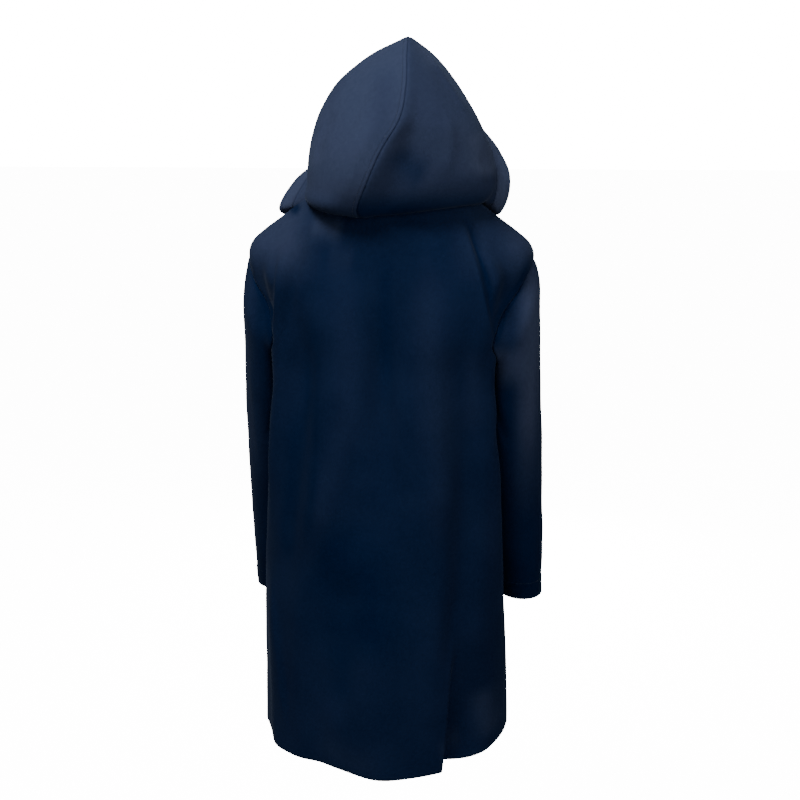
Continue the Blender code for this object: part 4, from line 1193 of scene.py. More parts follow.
def body_faded(points):
    """Nap and painted light, most on the left shoulder; painted shade under the flap and by the
    armholes.
    """
    x, z = points[..., 0], points[..., 2]
    right = SHOULDER_NAP_AND_LIGHT["right"] + SHOULDER_END_NAP_AND_LIGHT * past(-x, *SHOULDER_END)
    strength = np.where(x > 0, SHOULDER_NAP_AND_LIGHT["left"], right)
    shoulder = strength * past(np.abs(x), *SHOULDER_ACROSS) * past(z, *SHOULDER_UP)
    marks = UNDER_FLAP_SHADOW + ARMHOLE_SHADE["left"] + ARMHOLE_SHADE["right"]
    return BODY_NAP + shoulder + nap_and_shading_strokes(flat_map(points), marks)


back_faded = body_faded(back) + nap_and_shading_strokes(flat_map(back), BACK_NAP_AND_SHADING)
print(f"the back is faded by {back_faded.min():.2f} to {back_faded.max():.2f}")

# %% The body panels
EDGE_LINE = 0.007      # from each front edge to its row of stitching
BODY_RIPPLE = 0.0006
EDGE_FLAT = 0.09       # a front has no creases as near as this to its edge,
EDGE_BLEND = 0.05      # and has them in full this much further on
body_walls = {}
push = all_creases(flat_map(back), BACK_CREASES) + rippled(back, BODY_RIPPLE)
body_walls["back"] = panel("back_cloth", back, back_out, ("low",), push, back_faded)
for side in SIGN:
    points, out = fronts[side]
    edge = "last" if side == "left" else "first"
    push = all_creases(flat_map(points), FRONT_CREASES[side]) + rippled(points, BODY_RIPPLE)
    from_edge = distance_from(points, edge)
    push = push * past(from_edge, EDGE_FLAT, EDGE_BLEND)
    body_walls["front_" + side] = panel(f"front_{side}_cloth", points, out, ("low", edge), push,
                                        body_faded(points), line=from_edge - EDGE_LINE)

# %% [markdown]
# ### Sleeves
# An arm that hangs slightly bent pulls the cloth short inside the elbow, so creases run round from
# there and die out at the back. Near the armhole the sleeve's own fullness makes drag lines.

# %% Creases of the sleeves
def on_sleeve(side, *spots):
    """Places on a sleeve from (row, angle in degrees)."""
    rows, angles = np.array(spots, float).T
    return sleeve_ring(side, rows, np.radians(angles))


def sleeve_creases(side):
    return [
        (on_sleeve(side, (0.1, 100), (0.9, 112), (2.0, 108), (3.0, 96)), 0.0022, 0.012, 0.2),
        (on_sleeve(side, (0.5, 30), (1.4, 62), (2.2, 88)), -0.0024, 0.009, 0.3),
        (on_sleeve(side, (1.9, 200), (2.2, 250), (2.1, 310)), -0.0032, 0.009, 0.3),
        (on_sleeve(side, (2.3, 190), (2.6, 245), (2.5, 300)), 0.0026, 0.010, -0.2),
        (on_sleeve(side, (1.5, 215), (1.7, 260), (1.6, 300)), 0.0022, 0.009, 0.2),
        (on_sleeve(side, (2.8, 60), (3.3, 40), (4.1, 30)), -0.0022, 0.011, 0.2),
        (on_sleeve(side, (3.3, 150), (3.9, 170), (4.7, 180)), 0.0020, 0.012, 0.0),
        (on_sleeve(side, (0.3, 215), (0.9, 235), (1.4, 240)), -0.0026, 0.010, 0.2),
    ]


print("creases on each sleeve:", len(sleeve_creases("left")))

# %% Nap, painted light and painted shade of the sleeves
SLEEVE_NAP = {"left": 0.05, "right": 0.25}   # of the left sleeve, and of the right one in front
LEFT_OUTER_LIGHT = 0.20      # painted light that the outer side of the left sleeve adds
RIGHT_OUTER_LIGHT = (0.45, 0.55)   # painted light on the outer side of the right one behind, and what it adds up high
RIGHT_INNER_LIGHT = (0.14, 0.40)   # painted light on its side beside the body, and what that adds below the underarm
# Where each of these starts, and over how much it grows.
OUTER_SIDE = (0.205, 0.040)      # outwards
BEHIND = (-0.02, 0.06)           # backwards
UP_HIGH = (-0.45, 0.12)          # upwards
BESIDE_BODY = (-0.31, 0.05)      # upwards
BELOW_UNDERARM = (0.215, 0.03)   # downwards
ABOVE_CUFF = (-0.60, 0.2)        # upwards


def sleeve_faded(side, points):
    """Nap and painted light of a sleeve. Both have painted shade towards the cuff and along the armhole.
    """
    z = points[..., 2]
    outer = past(SIGN[side] * points[..., 0], *OUTER_SIDE)
    high = past(z, *UP_HIGH)
    behind = past(points[..., 1], *BEHIND)
    beside, low = RIGHT_INNER_LIGHT
    inner = (1 - outer) * past(z, *BESIDE_BODY) * (beside + low * past(-z, *BELOW_UNDERARM))
    if side == "left":
        faded = SLEEVE_NAP[side] + LEFT_OUTER_LIGHT * outer
    else:
        always, above = RIGHT_OUTER_LIGHT
        faded = behind * (outer * (always + above * high) + inner) + (1 - behind) * SLEEVE_NAP[side]
    return faded * past(z, *ABOVE_CUFF) + behind * nap_and_shading_strokes(flat_map(points), ARMHOLE_SHADE[side])


sleeves_faded = {side: sleeve_faded(side, sleeves[side]) for side in SIGN}
for side, faded in sleeves_faded.items():
    print(f"the {side} sleeve is faded by {faded.min():.2f} to {faded.max():.2f}")

# %% The sleeves
CUFF_TURN = 0.033      # how deep the cuffs are turned up and stitched
CUFF_CALM = 0.02       # the creases die away as near as this to a cuff's edge
CUFF_RISE = 0.0006     # how high the turned cuff stands
CUFF_STEP = 0.002      # the width of the step at its stitching
SLEEVE_RIPPLE = 0.0007
sleeve_walls = {}
for side in SIGN:
    points = sleeves[side]
    out = grid_normals(points, ring=True)
    push = all_creases(points, sleeve_creases(side), out) + rippled(points, SLEEVE_RIPPLE)
    from_cuff = distance_from(points, "low")
    turned_up = 1 - past(from_cuff, CUFF_TURN, CUFF_STEP)
    push = push * ease(from_cuff / CUFF_CALM) + CUFF_RISE * turned_up
    sleeve_walls[side] = panel(f"sleeve_{side}_cloth", points, out, ("low",), push, sleeves_faded[side],
                               ring=True, line=from_cuff - CUFF_TURN)

# %% [markdown]
# ### Hood
# The allowances of the middle seam are both pressed to the left and stitched down, so the left half
# stands up in a flat welt beside the seam. The right half dips under it.

# %% Creases of the hood
def on_hood(side, *spots):
    """Places on the hood from (row, share of the rib from the seam)."""
    rows, shares = np.array(spots, float).T
    return hood_surface(side, rows, shares)


HOOD_CREASES = {
    "left": [
        (on_hood("left", (9.2, 0.10), (8.3, 0.20), (7.5, 0.26)), -0.0022, 0.009, 0.3),
        (on_hood("left", (7.6, 0.05), (6.6, 0.12), (5.6, 0.16)), 0.0022, 0.010, 0.2),
        (on_hood("left", (6.6, 0.30), (5.6, 0.34), (4.6, 0.33)), -0.0026, 0.014, 0.2),
        (on_hood("left", (3.20, 0.05), (3.15, 0.25), (3.1, 0.45), (3.0, 0.65)), 0.0050, 0.014, 0.0),
    ],
    "right": [
        (on_hood("right", (5.9, 0.04), (5.1, 0.07), (4.2, 0.11)), -0.0030, 0.010, 0.2),
        (on_hood("right", (8.6, 0.14), (7.4, 0.28), (6.2, 0.36)), 0.0026, 0.013, 0.2),
        (on_hood("right", (6.4, 0.22), (5.2, 0.26), (4.0, 0.24)), 0.0024, 0.013, -0.2),
        (on_hood("right", (5.2, 0.40), (4.4, 0.46), (3.6, 0.44)), -0.0024, 0.014, 0.2),
    ],
}

print("creases on each half of the hood:", [len(creases) for creases in HOOD_CREASES.values()])

# %% Nap, painted light and painted shade of the hood
# Painted light and shade on the hood, together with its nap.
HOOD_NAP_AND_SHADING = {
    "left": [
        (((-0.002, 0.235), (-0.006, 0.170), (-0.002, 0.110), (0.014, 0.070)), -0.20, 0.022),
        (((0.108, 0.160), (0.095, 0.188), (0.068, 0.218)), -0.16, 0.018),
        (((0.122, 0.125), (0.121, 0.088), (0.117, 0.050)), 0.18, 0.018),
    ],
    "right": [
        (((-0.024, 0.100), (-0.042, 0.070), (-0.080, 0.050)), -0.40, 0.026),
        (((-0.040, 0.265), (-0.063, 0.242), (-0.085, 0.212)), 0.28, 0.016),
        (((-0.110, 0.150), (-0.138, 0.095), (-0.130, 0.036)), 0.16, 0.026),
        (((-0.155, 0.130), (-0.163, 0.085), (-0.164, 0.040)), 0.80, 0.020),
    ],
}
# The left half is paler than the right, as nap and painted light.
HOOD_NAP_AND_LIGHT = {"left": 1.0, "right": 0.74}
HOOD_LOW_SHADE = {"left": 0.20, "right": 0.50}   # painted shade: how much of it is lost low down
HOOD_UNDER_SHADE = 0.45      # and the painted shade where the left half turns under behind
# Where each of these starts, and over how much it grows.
LOW_DOWN = (-0.10, 0.14)         # downwards
TURNED_UNDER = (-0.035, 0.045)   # downwards
AT_BACK = (0.0, 0.04)            # backwards


def hood_faded(side, points):
    """Nap and painted light of the hood, the palest part, with painted shade low down and where it turns
    under.
    """
    low = past(-points[..., 2], *LOW_DOWN)
    under = past(-points[..., 2], *TURNED_UNDER) * past(points[..., 1], *AT_BACK)
    faded = HOOD_NAP_AND_LIGHT[side] - HOOD_LOW_SHADE[side] * low
    faded = faded - HOOD_UNDER_SHADE * under if side == "left" else faded * (1 - under)
    return faded + nap_and_shading_strokes(flat_map(points), HOOD_NAP_AND_SHADING[side])


hoods_faded = {side: hood_faded(side, hoods[side]) for side in SIGN}
for side, faded in hoods_faded.items():
    print(f"the {side} half of the hood is faded by {faded.min():.2f} to {faded.max():.2f}")

# %% The hood
WELT_WIDE = 0.0065     # from the middle seam to its row of stitching
WELT_HIGH = 0.0010
WELT_LIP = 0.0012      # how far inside the stitching the welt starts to fall,
WELT_FALL = 0.0016     # and over how much it falls
HOOD_RIPPLE = 0.0006
hood_walls = {}
for side in SIGN:
    points = hoods[side]
    out = grid_normals(points)
    push = all_creases(points, HOOD_CREASES[side], out) + rippled(points, HOOD_RIPPLE)
    raised = {}
    if side == "left":
        from_seam = distance_from(points, "first")
        welt = WELT_HIGH * (1 - ease((from_seam - WELT_WIDE + WELT_LIP) / WELT_FALL))
        raised = {"line": from_seam - WELT_WIDE, "welt": welt}
    hood_walls[side] = panel(f"hood_{side}_cloth", points, out, (), push, hoods_faded[side], **raised)

# %% [markdown]
# ### The band round the face
# The edge of the face opening is turned outwards and stitched, and it stands away from the cheeks low
# down. It is a narrow grid of its own, sewn to both halves of the hood, so its directions can come
# from a table.

# %% The band round the face
BAND_LINE = 0.006      # from the band's free edge to its row of stitching
# Painted light: the band is paler than the hood beside it.
BAND_NAP_AND_LIGHT = 1.20
BAND_RIPPLE = 0.0004
from_face = distance_from(band, "high")
band_walls = panel("hood_band_cloth", band, grid_normals(band), ("high",), rippled(band, BAND_RIPPLE),
                   np.full(band.shape[:2], BAND_NAP_AND_LIGHT), line=from_face - BAND_LINE)

# %% [markdown]
# ## Toggle closures
# Four closures fasten the front. On the right front a leather patch holds both ends of a loop of cord,
# and on the left front another holds a tether that goes round the waist of a horn toggle. The loop
# lies round the tether, so the toggle can't slip back through it.
#
# The leather is pressed over the ends of the cord, so it stands up there in two short ridges.

# %% A place on a front
FIND_STEPS = 8         # times that a guess at row and turn is put right


def front_spot(side, x, z, height):
    """Points that stand height off a front, at x across and z up, with the cloth's normals there."""
    x, z = np.broadcast_arrays(np.asarray(x, float), np.asarray(z, float))
    s = np.interp(z, BODY.at(np.arange(NECK + 1))["front_z"], np.arange(NECK + 1))
    turn = HALF_TURN - SIGN[side] * np.degrees(np.arcsin(x / BODY.at(s)["width"]))
    for _ in range(FIND_STEPS):
        here = body_surface(s, SIGN[side] * turn)
        rise = (body_surface(s + NEAR, SIGN[side] * turn) - here)[..., 2] / NEAR
        run = (body_surface(s, SIGN[side] * (turn + NEAR)) - here)[..., 0] / NEAR
        s = s + (z - here[..., 2]) / rise
        turn = turn + (x - here[..., 0]) / run
    points, normals = front_surface(side, s, turn)
    return points + np.asarray(height)[..., None] * normals, normals


chest_spot = front_spot("left", 0.05, -0.20, 0.0)[0]
print("the spot 0.05 m across and 0.20 m down is at", np.round(chest_spot, 4).tolist())


# %% Leather patches
CLOSURES = (-0.200, -0.340, -0.480, -0.620)   # heights, from the top
PATCH = 0.0020           # thickness of the leather
PATCH_AIR = 0.0010
PATCH_WIDTH = 0.036
PATCH_HEIGHT = 0.034
PATCH_ROUND = 0.35       # share of the height lost at the ends
PATCH_INSET = 0.0032     # from its edge to its stitches
PATCH_GRID = (37, 35)    # points along and up
PATCH_RIM = 0.0012       # how far from its edge the leather is pared
PARED = 0.28             # share of the thickness that is pared off at the edge
RIDGE_WIDE = 0.0026      # half the width of the ridge over a cord
PATCH_EDGE = {"right": -0.028, "left": 0.080}     # where each patch's cord comes out
CORD_SPREAD = {"right": 0.0052, "left": 0.0024}   # from the middle of a closure to each of its cords
PATCH_LIFT = {"right": 0.0030, "left": 0.0024}    # how far the leather rises over them


def patch_surface(side, z, share, v):
    """A patch from the edge its cord leaves, where share is 0, and between v of -1 and 1."""
    x = PATCH_EDGE[side] + SIGN[side] * PATCH_WIDTH * share
    up = v * PATCH_HEIGHT / 2 * (1 - PATCH_ROUND * (2 * share - 1) ** 6)
    over = bell((np.abs(up) - CORD_SPREAD[side]) / RIDGE_WIDE) * (1 - ease(share / 0.5))
    return front_spot(side, x, z + up, PATCH_AIR + PATCH + PATCH_LIFT[side] * over)


share, v = np.meshgrid(np.linspace(0.0, 1.0, PATCH_GRID[0]), np.linspace(-1.0, 1.0, PATCH_GRID[1]))
for number, z in enumerate(CLOSURES, 1):
    for side in SIGN:
        points, out = patch_surface(side, z, share, v)
        if side == "right":
            points, out = points[:, ::-1], out[:, ::-1]
        rim = nearest(points, tuple(EDGES))
        thick = PATCH * (1 - PARED + PARED * ease(rim / PATCH_RIM))
        points = points - (PATCH * PARED * (1 - ease(rim / PATCH_RIM)))[..., None] * out
        inner = points - thick[..., None] * out
        piece = wall(f"leather_{side}_{number}", points, inner, tuple(EDGES), LEATHER, rim=rim,
                     line=np.abs(rim - PATCH_INSET))
        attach(piece, "root")
        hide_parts(f"patch_{side}_{number}")


# %% A closed shape from rings
def ringed(name, rings, ends, material, height):
    """A closed shape from rings of points that run along it, closed to a point at each end."""
    rows, columns = rings.shape[:2]
    index = np.arange(rows * columns).reshape(rows, columns)
    right = np.roll(index, -1, axis=1)
    faces = np.stack([index[:-1], right[:-1], right[1:], index[1:]], axis=-1).reshape(-1, 4).tolist()
    for row, pole in ((0, rows * columns), (-1, rows * columns + 1)):
        faces += [[a, b, pole] for a, b in zip(index[row].tolist(), right[row].tolist())]
    mesh = bpy.data.meshes.new(name)
    mesh.from_pydata(np.concatenate([rings.reshape(-1, 3), ends]), [], faces)
    shape = bmesh.new()
    shape.from_mesh(mesh)
    bmesh.ops.recalc_face_normals(shape, faces=shape.faces)
    shape.to_mesh(mesh)
    shape.free()
    mesh.shade_smooth()
    layer = mesh.attributes.new("line", "FLOAT", "POINT")
    layer.data.foreach_set("value", np.concatenate([height.reshape(-1), [0.0, 0.0]]).astype(np.float32))
    mesh.materials.append(material)
    piece = bpy.data.objects.new(name, mesh)
    bpy.context.scene.collection.objects.link(piece)
    print(f"{name}: {len(mesh.polygons)} faces")
    return piece

# %% [markdown]
# ### Cord
# Three strands are laid together, so the section is a round with three lobes that turns as it goes
# along. The same lobes are kept as an attribute, and the finish paints shade into the grooves between
# strands.

# %% A rope of three strands
ROPE_SIDES = 24
ROPE_STEPS = 9           # rings between two points of its path
GROOVE = 0.22            # depth of the grooves between the strands, in radii


def rope(name, path, radius, lay):
    """A rope along a path. lay is the length in which a strand goes once round."""
    middle = smooth_path(path, ROPE_STEPS)
    ahead = unit(np.gradient(middle, axis=0))
    sides = [unit(np.cross(ahead[0], (0.31, 0.17, 1.0)))]
    for way in ahead[1:]:
        sides.append(unit(sides[-1] - way * (sides[-1] @ way)))
    sides = np.array(sides)[:, None]
    over = np.cross(ahead, sides[:, 0])[:, None]
    along = np.concatenate([[0.0], np.cumsum(np.linalg.norm(np.diff(middle, axis=0), axis=1))])
    angle = np.linspace(0.0, 2 * math.pi, ROPE_SIDES, endpoint=False)
    strand = np.abs(np.cos(1.5 * (angle - (2 * math.pi / lay * along)[:, None])))
    reach = (radius * (1 - GROOVE + GROOVE * np.sqrt(strand)))[..., None]
    rings = middle[:, None] + reach * (np.cos(angle)[:, None] * sides + np.sin(angle)[:, None] * over)
    piece = ringed(name, rings, middle[[0, -1]], CORD, strand)
    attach(piece, "root")
    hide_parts(name.replace("_cord", ""))
    print(f"{name}: {along[-1] * 1000:.0f} mm of cord")


# %% Loops and tethers
LOOP_RADIUS = 0.0020
LOOP_LAY = 0.016         # the length of cord in which a strand goes once round
LOOP_SPREAD = CORD_SPREAD["right"]
LOOP_LIFT = 0.0026       # the middle of the cord is this far off the cloth
LOOP_ON_RIGHT = (-0.035, -0.0275, -0.014, 0.000, 0.014, 0.026, 0.034)   # x, from under the patch
LOOP_ON_LEFT = ((0.040, 0.0046), (0.046, LOOP_LIFT), (0.052, LOOP_LIFT))   # x, off the cloth
LOOP_END = 0.056         # x of the middle of its round end
TOGGLE_X = 0.052
TOGGLE_OUT = 0.0125      # the toggle's axis stands this far off the left front
TETHER_RADIUS = 0.0016
TETHER_LAY = 0.013
TETHER_SPREAD = CORD_SPREAD["left"]
WRAP = 0.0058            # the tether's distance from the toggle's axis where it goes round its waist
WRAP_SPOTS = 12
TETHER_OUT = ((0.087, 0.0021), (0.0795, 0.0023), (0.0735, 0.0040), (0.0675, 0.0078), (0.0610, 0.0122))
TETHER_HOME = ((0.0585, 0.0066), (0.0640, 0.0064), (0.0700, 0.0050), (0.0795, 0.0023), (0.087, 0.0021))


def loop_path(z):
    """The loop from the right patch over the front edge, round the tether and back."""
    half = [("right", x, LOOP_SPREAD, LOOP_LIFT) for x in LOOP_ON_RIGHT]
    half += [("left", x, LOOP_SPREAD, lift) for x, lift in LOOP_ON_LEFT]
    half += [("left", LOOP_END + LOOP_SPREAD * math.cos(a), LOOP_SPREAD * math.sin(a), LOOP_LIFT)
             for a in np.radians((75, 50, 25, 0))]
    home = [(side, x, -up, lift) for side, x, up, lift in reversed(half[:-1])]
    return [front_spot(side, x, z + up, lift)[0] for side, x, up, lift in half + home]


def toggle_seat(z):
    """Where a toggle's middle is, with the directions left, off the cloth and up there."""
    middle, off = front_spot("left", TOGGLE_X, z, TOGGLE_OUT)
    up = unit(front_spot("left", TOGGLE_X, z + NEAR, TOGGLE_OUT)[0] - middle)
    left = unit(np.cross(up, off))
    return middle, left, np.cross(left, up), up


def tether_path(z):
    """The tether from the left patch over the toggle's front, round its waist and back behind it."""
    middle, left, off, up = toggle_seat(z)
    out = [front_spot("left", x, z + TETHER_SPREAD, lift)[0] for x, lift in TETHER_OUT]
    home = [front_spot("left", x, z - TETHER_SPREAD, lift)[0] for x, lift in TETHER_HOME]
    wrap = [middle + WRAP * (math.cos(a) * left + math.sin(a) * off) + drop * up
            for a, drop in zip(np.radians(np.linspace(25.0, 270.0, WRAP_SPOTS)),
                               np.linspace(TETHER_SPREAD, -TETHER_SPREAD, WRAP_SPOTS))]
    return out + wrap + home


for number, z in enumerate(CLOSURES, 1):
    rope(f"loop_{number}_cord", loop_path(z), LOOP_RADIUS, LOOP_LAY)
    rope(f"tether_{number}_cord", tether_path(z), TETHER_RADIUS, TETHER_LAY)

# %% [markdown]
# ### Toggles
# A toggle is cut from the tip of a horn: thicker at one end, pinched at the waist for its tether, and
# never quite round. Its profile is turned about its axis and then flattened and bowed a little.

# %% Horn toggles
TOGGLE = Sections(
    "radius height",
    (0.0000, 0.0260), (0.0034, 0.0255), (0.0055, 0.0232), (0.0063, 0.0170), (0.0061, 0.0105),
    (0.0050, 0.0068), (0.0038, 0.0052), (0.0037, 0.0000), (0.0038, -0.0052), (0.0052, -0.0068),
    (0.0067, -0.0105), (0.0071, -0.0170), (0.0063, -0.0236), (0.0038, -0.0262), (0.0000, -0.0268),
)
TOGGLE_RINGS = 64
TOGGLE_SIDES = 32
TOGGLE_TIP = 0.06        # rows of the table between a tip and its nearest ring
TOGGLE_WAIST = 0.006     # half the height of the waist
TOGGLE_BOW = 0.0006      # how far its ends curve towards the cloth
TOGGLE_HALF = 0.026
TOGGLE_FLAT = 0.10       # how much it is flattened, away from its waist


def toggle(number, z):
    middle, left, off, up = toggle_seat(z)
    profile = TOGGLE.at(np.linspace(TOGGLE_TIP, TOGGLE.last - TOGGLE_TIP, TOGGLE_RINGS))
    radius, height = profile["radius"][:, None], profile["height"][:, None]
    angle = np.linspace(0.0, 2 * math.pi, TOGGLE_SIDES, endpoint=False)
    ridges = 1 + 0.012 * np.sin(3 * angle + 40 * height + number)
    ridges = ridges + 0.008 * np.sin(5 * angle - 90 * height)
    waist = bell(height / TOGGLE_WAIST)
    flat = 1 - TOGGLE_FLAT + TOGGLE_FLAT * waist
    across = radius * ridges * np.cos(angle)
    away = radius * ridges * flat * np.sin(angle) - TOGGLE_BOW * (height / TOGGLE_HALF) ** 2
    rings = middle + across[..., None] * left + away[..., None] * off
    rings = rings + (height + 0 * across)[..., None] * up
    tips = np.array([middle + tip * up - TOGGLE_BOW * off for tip in TOGGLE.values[[0, -1], 1]])
    piece = ringed(f"horn_toggle_{number}", rings, tips, HORN, 0 * across)
    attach(piece, "root")
    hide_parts(f"toggle_{number}")


for number, z in enumerate(CLOSURES, 1):
    toggle(number, z)

# %% [markdown]
# ## Stitches
# The rows of stitching follow the seams at a set distance, so each path is read off its panel. One
# tree of geometry nodes lays a short capsule of thread along a path at every pitch, with a little
# scatter in its length. It would take any other path as well, which is why it has named inputs.

# %% A tree that sews
STITCH_SEGMENTS = 6
STITCH_RINGS = 5
STITCH_POINTS = STITCH_SEGMENTS * (STITCH_RINGS - 1) + 2   # vertices of one stitch


def stitching():
    tree = bpy.data.node_groups.new("stitching", "GeometryNodeTree")
    sockets = (("Path", "Geometry", None), ("Pitch", "Float", 0.0032), ("Length", "Float", 0.0023),
               ("Thickness", "Float", 0.0006), ("Seed", "Int", 1), ("Thread", "Material", THREAD))
    for title, kind, usual in sockets:
        socket = tree.interface.new_socket(title, in_out="INPUT", socket_type="NodeSocket" + kind)
        if usual is not None:
            socket.default_value = usual
    tree.interface.new_socket("Stitches", in_out="OUTPUT", socket_type="NodeSocketGeometry")

    def add(kind, settings, wanted, out=0):
        node = tree.nodes.new(kind)
        for title, value in settings.items():
            setattr(node, title, value)
        for title, value in wanted.items():
            if isinstance(value, bpy.types.NodeSocket):
                tree.links.new(value, node.inputs[title])
            else:
                node.inputs[title].default_value = value
        return node.outputs[out]

    given = tree.nodes.new("NodeGroupInput").outputs
    path = add("GeometryNodeMeshToCurve", {}, {"Mesh": given["Path"]})
    wanted = {"Curve": path, "Length": given["Pitch"]}
    places = add("GeometryNodeCurveToPoints", {"mode": "LENGTH"}, wanted).node
    along = add("FunctionNodeAlignRotationToVector", {"axis": "X"},
                {"Vector": places.outputs["Tangent"]})
    stitch = add("GeometryNodeMeshUVSphere", {}, {"Segments": STITCH_SEGMENTS, "Rings": STITCH_RINGS,
                                                  "Radius": 0.5})
    size = add("ShaderNodeCombineXYZ", {}, {"X": given["Length"], "Y": given["Thickness"],
                                            "Z": given["Thickness"]})
    capsule = add("GeometryNodeTransform", {}, {"Geometry": stitch, "Scale": size})
    scatter = add("FunctionNodeRandomValue", {"data_type": "FLOAT_VECTOR"},
                  {"Min": (0.88, 0.9, 0.9), "Max": (1.08, 1.1, 1.1), "Seed": given["Seed"]})
    sewn = add("GeometryNodeInstanceOnPoints", {},
               {"Points": places.outputs["Points"], "Instance": capsule, "Rotation": along,
                "Scale": scatter})
    real = add("GeometryNodeRealizeInstances", {}, {"Geometry": sewn})
    smooth = add("GeometryNodeSetShadeSmooth", {}, {"Geometry": real})
    ready = add("GeometryNodeSetMaterial", {}, {"Geometry": smooth, "Material": given["Thread"]})
    tree.links.new(ready, tree.nodes.new("NodeGroupOutput").inputs["Stitches"])
    return tree


STITCHING = stitching()
print("the stitching tree has", len(STITCHING.nodes), "nodes")


# %% Sewing along paths
def sew(name, paths, slot="melton", **sizes):
    """Stitches along paths, as one plain mesh. Each path is (points, whether it is closed)."""
    spots, edges = [], []
    for points, closed in paths:
        start = len(spots)
        spots += [tuple(point) for point in points]
        edges += [(k, k + 1) for k in range(start, len(spots) - 1)]
        edges += [(len(spots) - 1, start)] if closed else []
    mesh = bpy.data.meshes.new(name)
    mesh.from_pydata(spots, edges, [])
    piece = bpy.data.objects.new(name, mesh)
    bpy.context.scene.collection.objects.link(piece)
    sewing = piece.modifiers.new("sewing", "NODES")
    sewing.node_group = STITCHING
    for socket in STITCHING.interface.items_tree:
        if socket.name in sizes:
            sewing[socket.identifier] = sizes[socket.name]
    graph = bpy.context.evaluated_depsgraph_get()
    sewn = bpy.data.meshes.new_from_object(piece.evaluated_get(graph), depsgraph=graph)
    piece.modifiers.clear()
    piece.data = sewn
    bpy.data.meshes.remove(mesh)
    sewn.name = name
    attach(piece, "root")
    print(f"{name}: {len(sewn.vertices) // STITCH_POINTS} stitches")
    return piece


THREAD_LIFT = 0.00012  # how far a thread's middle stands off the cloth


def line_at(moved, flat, edge, at):
    """The line of a panel that runs at a distance from one of its edges, a hair above the cloth."""
    raised = moved + THREAD_LIFT * grid_normals(moved, ring=edge == "low")
    far = distance_from(flat, edge)
    axis, way = EDGES[edge]
    if axis == 0:
        raised, far = raised.swapaxes(0, 1), far.T
    return [[np.interp(at, reach[::way], spots[::way, k]) for k in range(3)]
            for spots, reach in zip(raised, far)]


# %% The stitched rows
beside_seam = line_at(hood_walls["left"][1], hoods["left"], "first", WELT_WIDE)
round_face = line_at(band_walls[1], band, "high", BAND_LINE)
stitches = {"hood_left": sew("hood_seam_stitches", [(beside_seam, False)]),
            "hood_band": sew("hood_band_stitches", [(round_face, False)], Seed=2)}
for side in SIGN:
    cuff = line_at(sleeve_walls[side][1], sleeves[side], "low", CUFF_TURN)
    stitches["sleeve_" + side] = sew(f"cuff_{side}_stitches", [(cuff, True)], Seed=3)
    edge = "last" if side == "left" else "first"
    hem_to_neck = line_at(body_walls["front_" + side][1], fronts[side][0], edge, EDGE_LINE)
    stitches["front_" + side] = sew(f"front_{side}_stitches", [(hem_to_neck, False)], Seed=4)

# %% The stitches of the leather
PATCH_STEPS = 12       # spots of the path along each side of a patch
LEATHER_LIFT = 0.0001
half_along = 0.5 - PATCH_INSET / PATCH_WIDTH
half_up = 1 - 2 * PATCH_INSET / PATCH_HEIGHT
steps = np.linspace(-1.0, 1.0, PATCH_STEPS + 1)[:-1]
still = np.ones(PATCH_STEPS)
round_share = 0.5 + half_along * np.concatenate([steps, still, -steps, -still])
round_v = half_up * np.concatenate([-still, steps, still, -steps])
paths = []
for z in CLOSURES:
    for side in SIGN:
        points, out = patch_surface(side, z, round_share, round_v)
        paths.append((points + LEATHER_LIFT * out, True))
sew("leather_stitches", paths, "leather", Pitch=0.0028, Length=0.0021, Seed=5)

# %% [markdown]
# ## What each panel was cut to
# A maker lays each panel flat before it is sewn. So the cut of each one is listed, with the size of
# the cloth that it takes up, its width across the coat first, and its own area, because none of them
# is a plain rectangle. The areas leave out the seam allowances and the turnings, which don't show.
# Each cut area is printed beside the area of its grid.

# %% Panel sizes, beside the areas of the grids
CUTS = {
    # width, length and area of the cut
    "back": (0.725, 1.150, 0.578),
    "front_left": (0.340, 1.135, 0.276),
    "front_right": (0.340, 1.135, 0.278),
    "sleeve_left": (0.520, 0.630, 0.181),
    "sleeve_right": (0.525, 0.630, 0.187),
    "hood_left": (0.330, 0.535, 0.105),
    "hood_right": (0.330, 0.535, 0.101),
    "hood_band": (0.026, 1.095, 0.0262),
}


def outside_area(grid, ring):
    closed = np.concatenate([grid, grid[:, :1]], axis=1) if ring else grid
    a, b, c, d = closed[:-1, :-1], closed[1:, :-1], closed[1:, 1:], closed[:-1, 1:]
    return np.linalg.norm(np.cross(c - a, d - b), axis=-1).sum() / 2


panels = dict(body_walls, hood_band=band_walls)
panels.update({"sleeve_" + side: sleeve_walls[side] for side in SIGN})
panels.update({"hood_" + side: hood_walls[side] for side in SIGN})
for name, (width, length, area) in CUTS.items():
    piece, grid = panels[name]
    sewn_on = [stitches[name]] if name in stitches else []
    print(f"{name}: cut {area:.4f} square metres, now {outside_area(grid, 'sleeve' in name):.4f}")

# %% [markdown]
# ## The studio
# A coat shown alone hangs in a white room under soft boxes. A white room could be modelled, but it
# would throw as much light at the folds as the lamps do, and flatten them. So the floor glows without
# lighting the coat, and the world has two strengths, chosen by the Light Path node: a bright one that
# the camera sees, and a weak one that lights the coat. Four soft boxes behind it and two in front give
# the cloth its form.

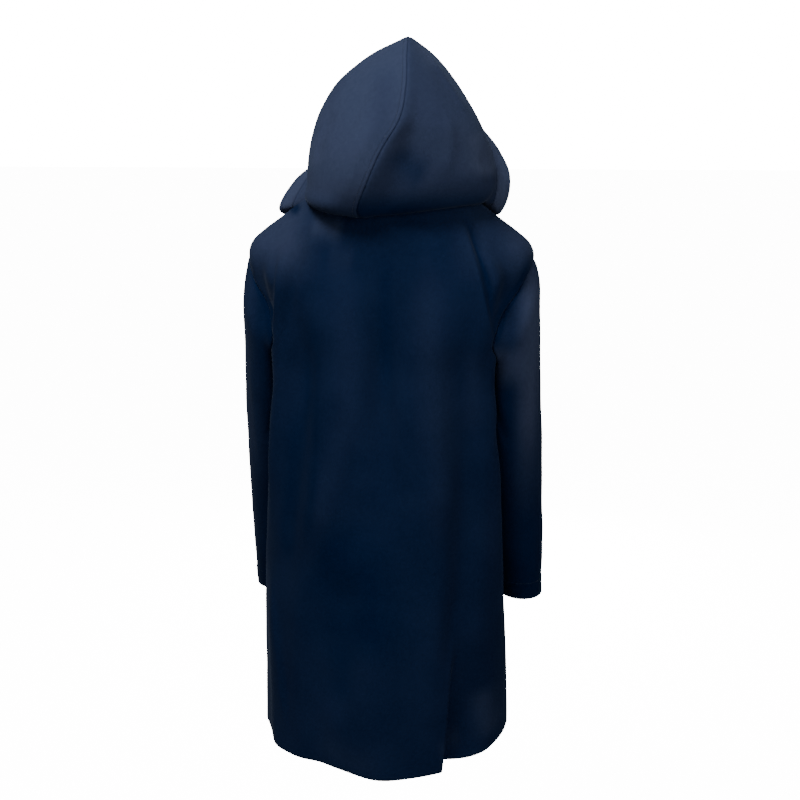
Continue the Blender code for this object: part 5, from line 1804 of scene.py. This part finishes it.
# %% The floor
FLOOR_Z = -1.55
FLOOR_HALF = 40.0
FLOOR_GLOW = 14.0
pale_floor = bpy.data.materials.new("pale_floor")
pale_floor.use_nodes = True
shader = pale_floor.node_tree.nodes["Principled BSDF"]
shader.inputs["Base Color"].default_value = (0.9, 0.9, 0.9, 1.0)
shader.inputs["Roughness"].default_value = 0.9
shader.inputs["Emission Color"].default_value = (1.0, 1.0, 1.0, 1.0)
shader.inputs["Emission Strength"].default_value = FLOOR_GLOW
floor_mesh = bpy.data.meshes.new("floor")
corners = [(x * FLOOR_HALF, y * FLOOR_HALF, FLOOR_Z) for x, y in ((-1, -1), (1, -1), (1, 1), (-1, 1))]
floor_mesh.from_pydata(corners, [], [(0, 1, 2, 3)])
floor_mesh.materials.append(pale_floor)
floor = bpy.data.objects.new("floor", floor_mesh)
bpy.context.scene.collection.objects.link(floor)
floor.visible_diffuse = False
floor.visible_glossy = False
print(f"the floor is {HEM_Z - FLOOR_Z:.2f} m below the hem")


# %% Lamps
def lamp(name, place, aim, size, power):
    """A square soft box that points at a spot on the coat."""
    data = bpy.data.lights.new(name, "AREA")
    data.shape = "SQUARE"
    data.size = size
    data.energy = power
    box = bpy.data.objects.new(name, data)
    bpy.context.scene.collection.objects.link(box)
    box.location = place
    box.rotation_euler = (Vector(aim) - Vector(place)).to_track_quat("-Z", "Y").to_euler()
    print(f"lamp {name}: {power:.0f} W, {(Vector(aim) - Vector(place)).length:.1f} m away")


lamp("key", (0.9, 1.3, 2.4), (0.0, 0.0, 0.05), 1.2, 150.0)
lamp("fill", (-1.6, 2.8, 0.5), (0.0, 0.0, -0.4), 1.6, 46.0)
lamp("low_fill", (0.6, 3.0, -0.9), (0.0, 0.0, -0.75), 1.6, 26.0)
lamp("side", (-2.4, 0.9, 0.4), (-0.15, 0.0, 0.0), 1.0, 21.0)
lamp("front_key", (0.35, -3.1, 0.9), (0.0, 0.0, -0.3), 1.2, 130.0)
lamp("front_fill", (-0.1, -3.2, -0.5), (0.0, 0.0, -0.5), 1.2, 50.0)

# %% The world
WORLD_LIGHT = 0.12     # strength of the world where it lights the coat
WORLD_SEEN = 24.0      # and where the camera sees it
world = bpy.data.worlds.new("world")
bpy.context.scene.world = world
world.use_nodes = True
nodes = world.node_tree.nodes
links = world.node_tree.links
background = nodes["Background"]
background.inputs["Color"].default_value = (1.0, 1.0, 1.0, 1.0)
background.inputs["Strength"].default_value = WORLD_LIGHT
seen = nodes.new("ShaderNodeBackground")
seen.inputs["Strength"].default_value = WORLD_SEEN
mixer = nodes.new("ShaderNodeMixShader")
links.new(nodes.new("ShaderNodeLightPath").outputs["Is Camera Ray"], mixer.inputs["Fac"])
links.new(background.outputs["Background"], mixer.inputs[1])
links.new(seen.outputs["Background"], mixer.inputs[2])
links.new(mixer.outputs["Shader"], nodes["World Output"].inputs["Surface"])
print("the world has", len(nodes), "nodes")

# %% [markdown]
# ## The coat is done
# The cloth stands a little proud of the solids, so the finished coat's box may be a few millimetres
# larger than the packed one's, and no more than that.
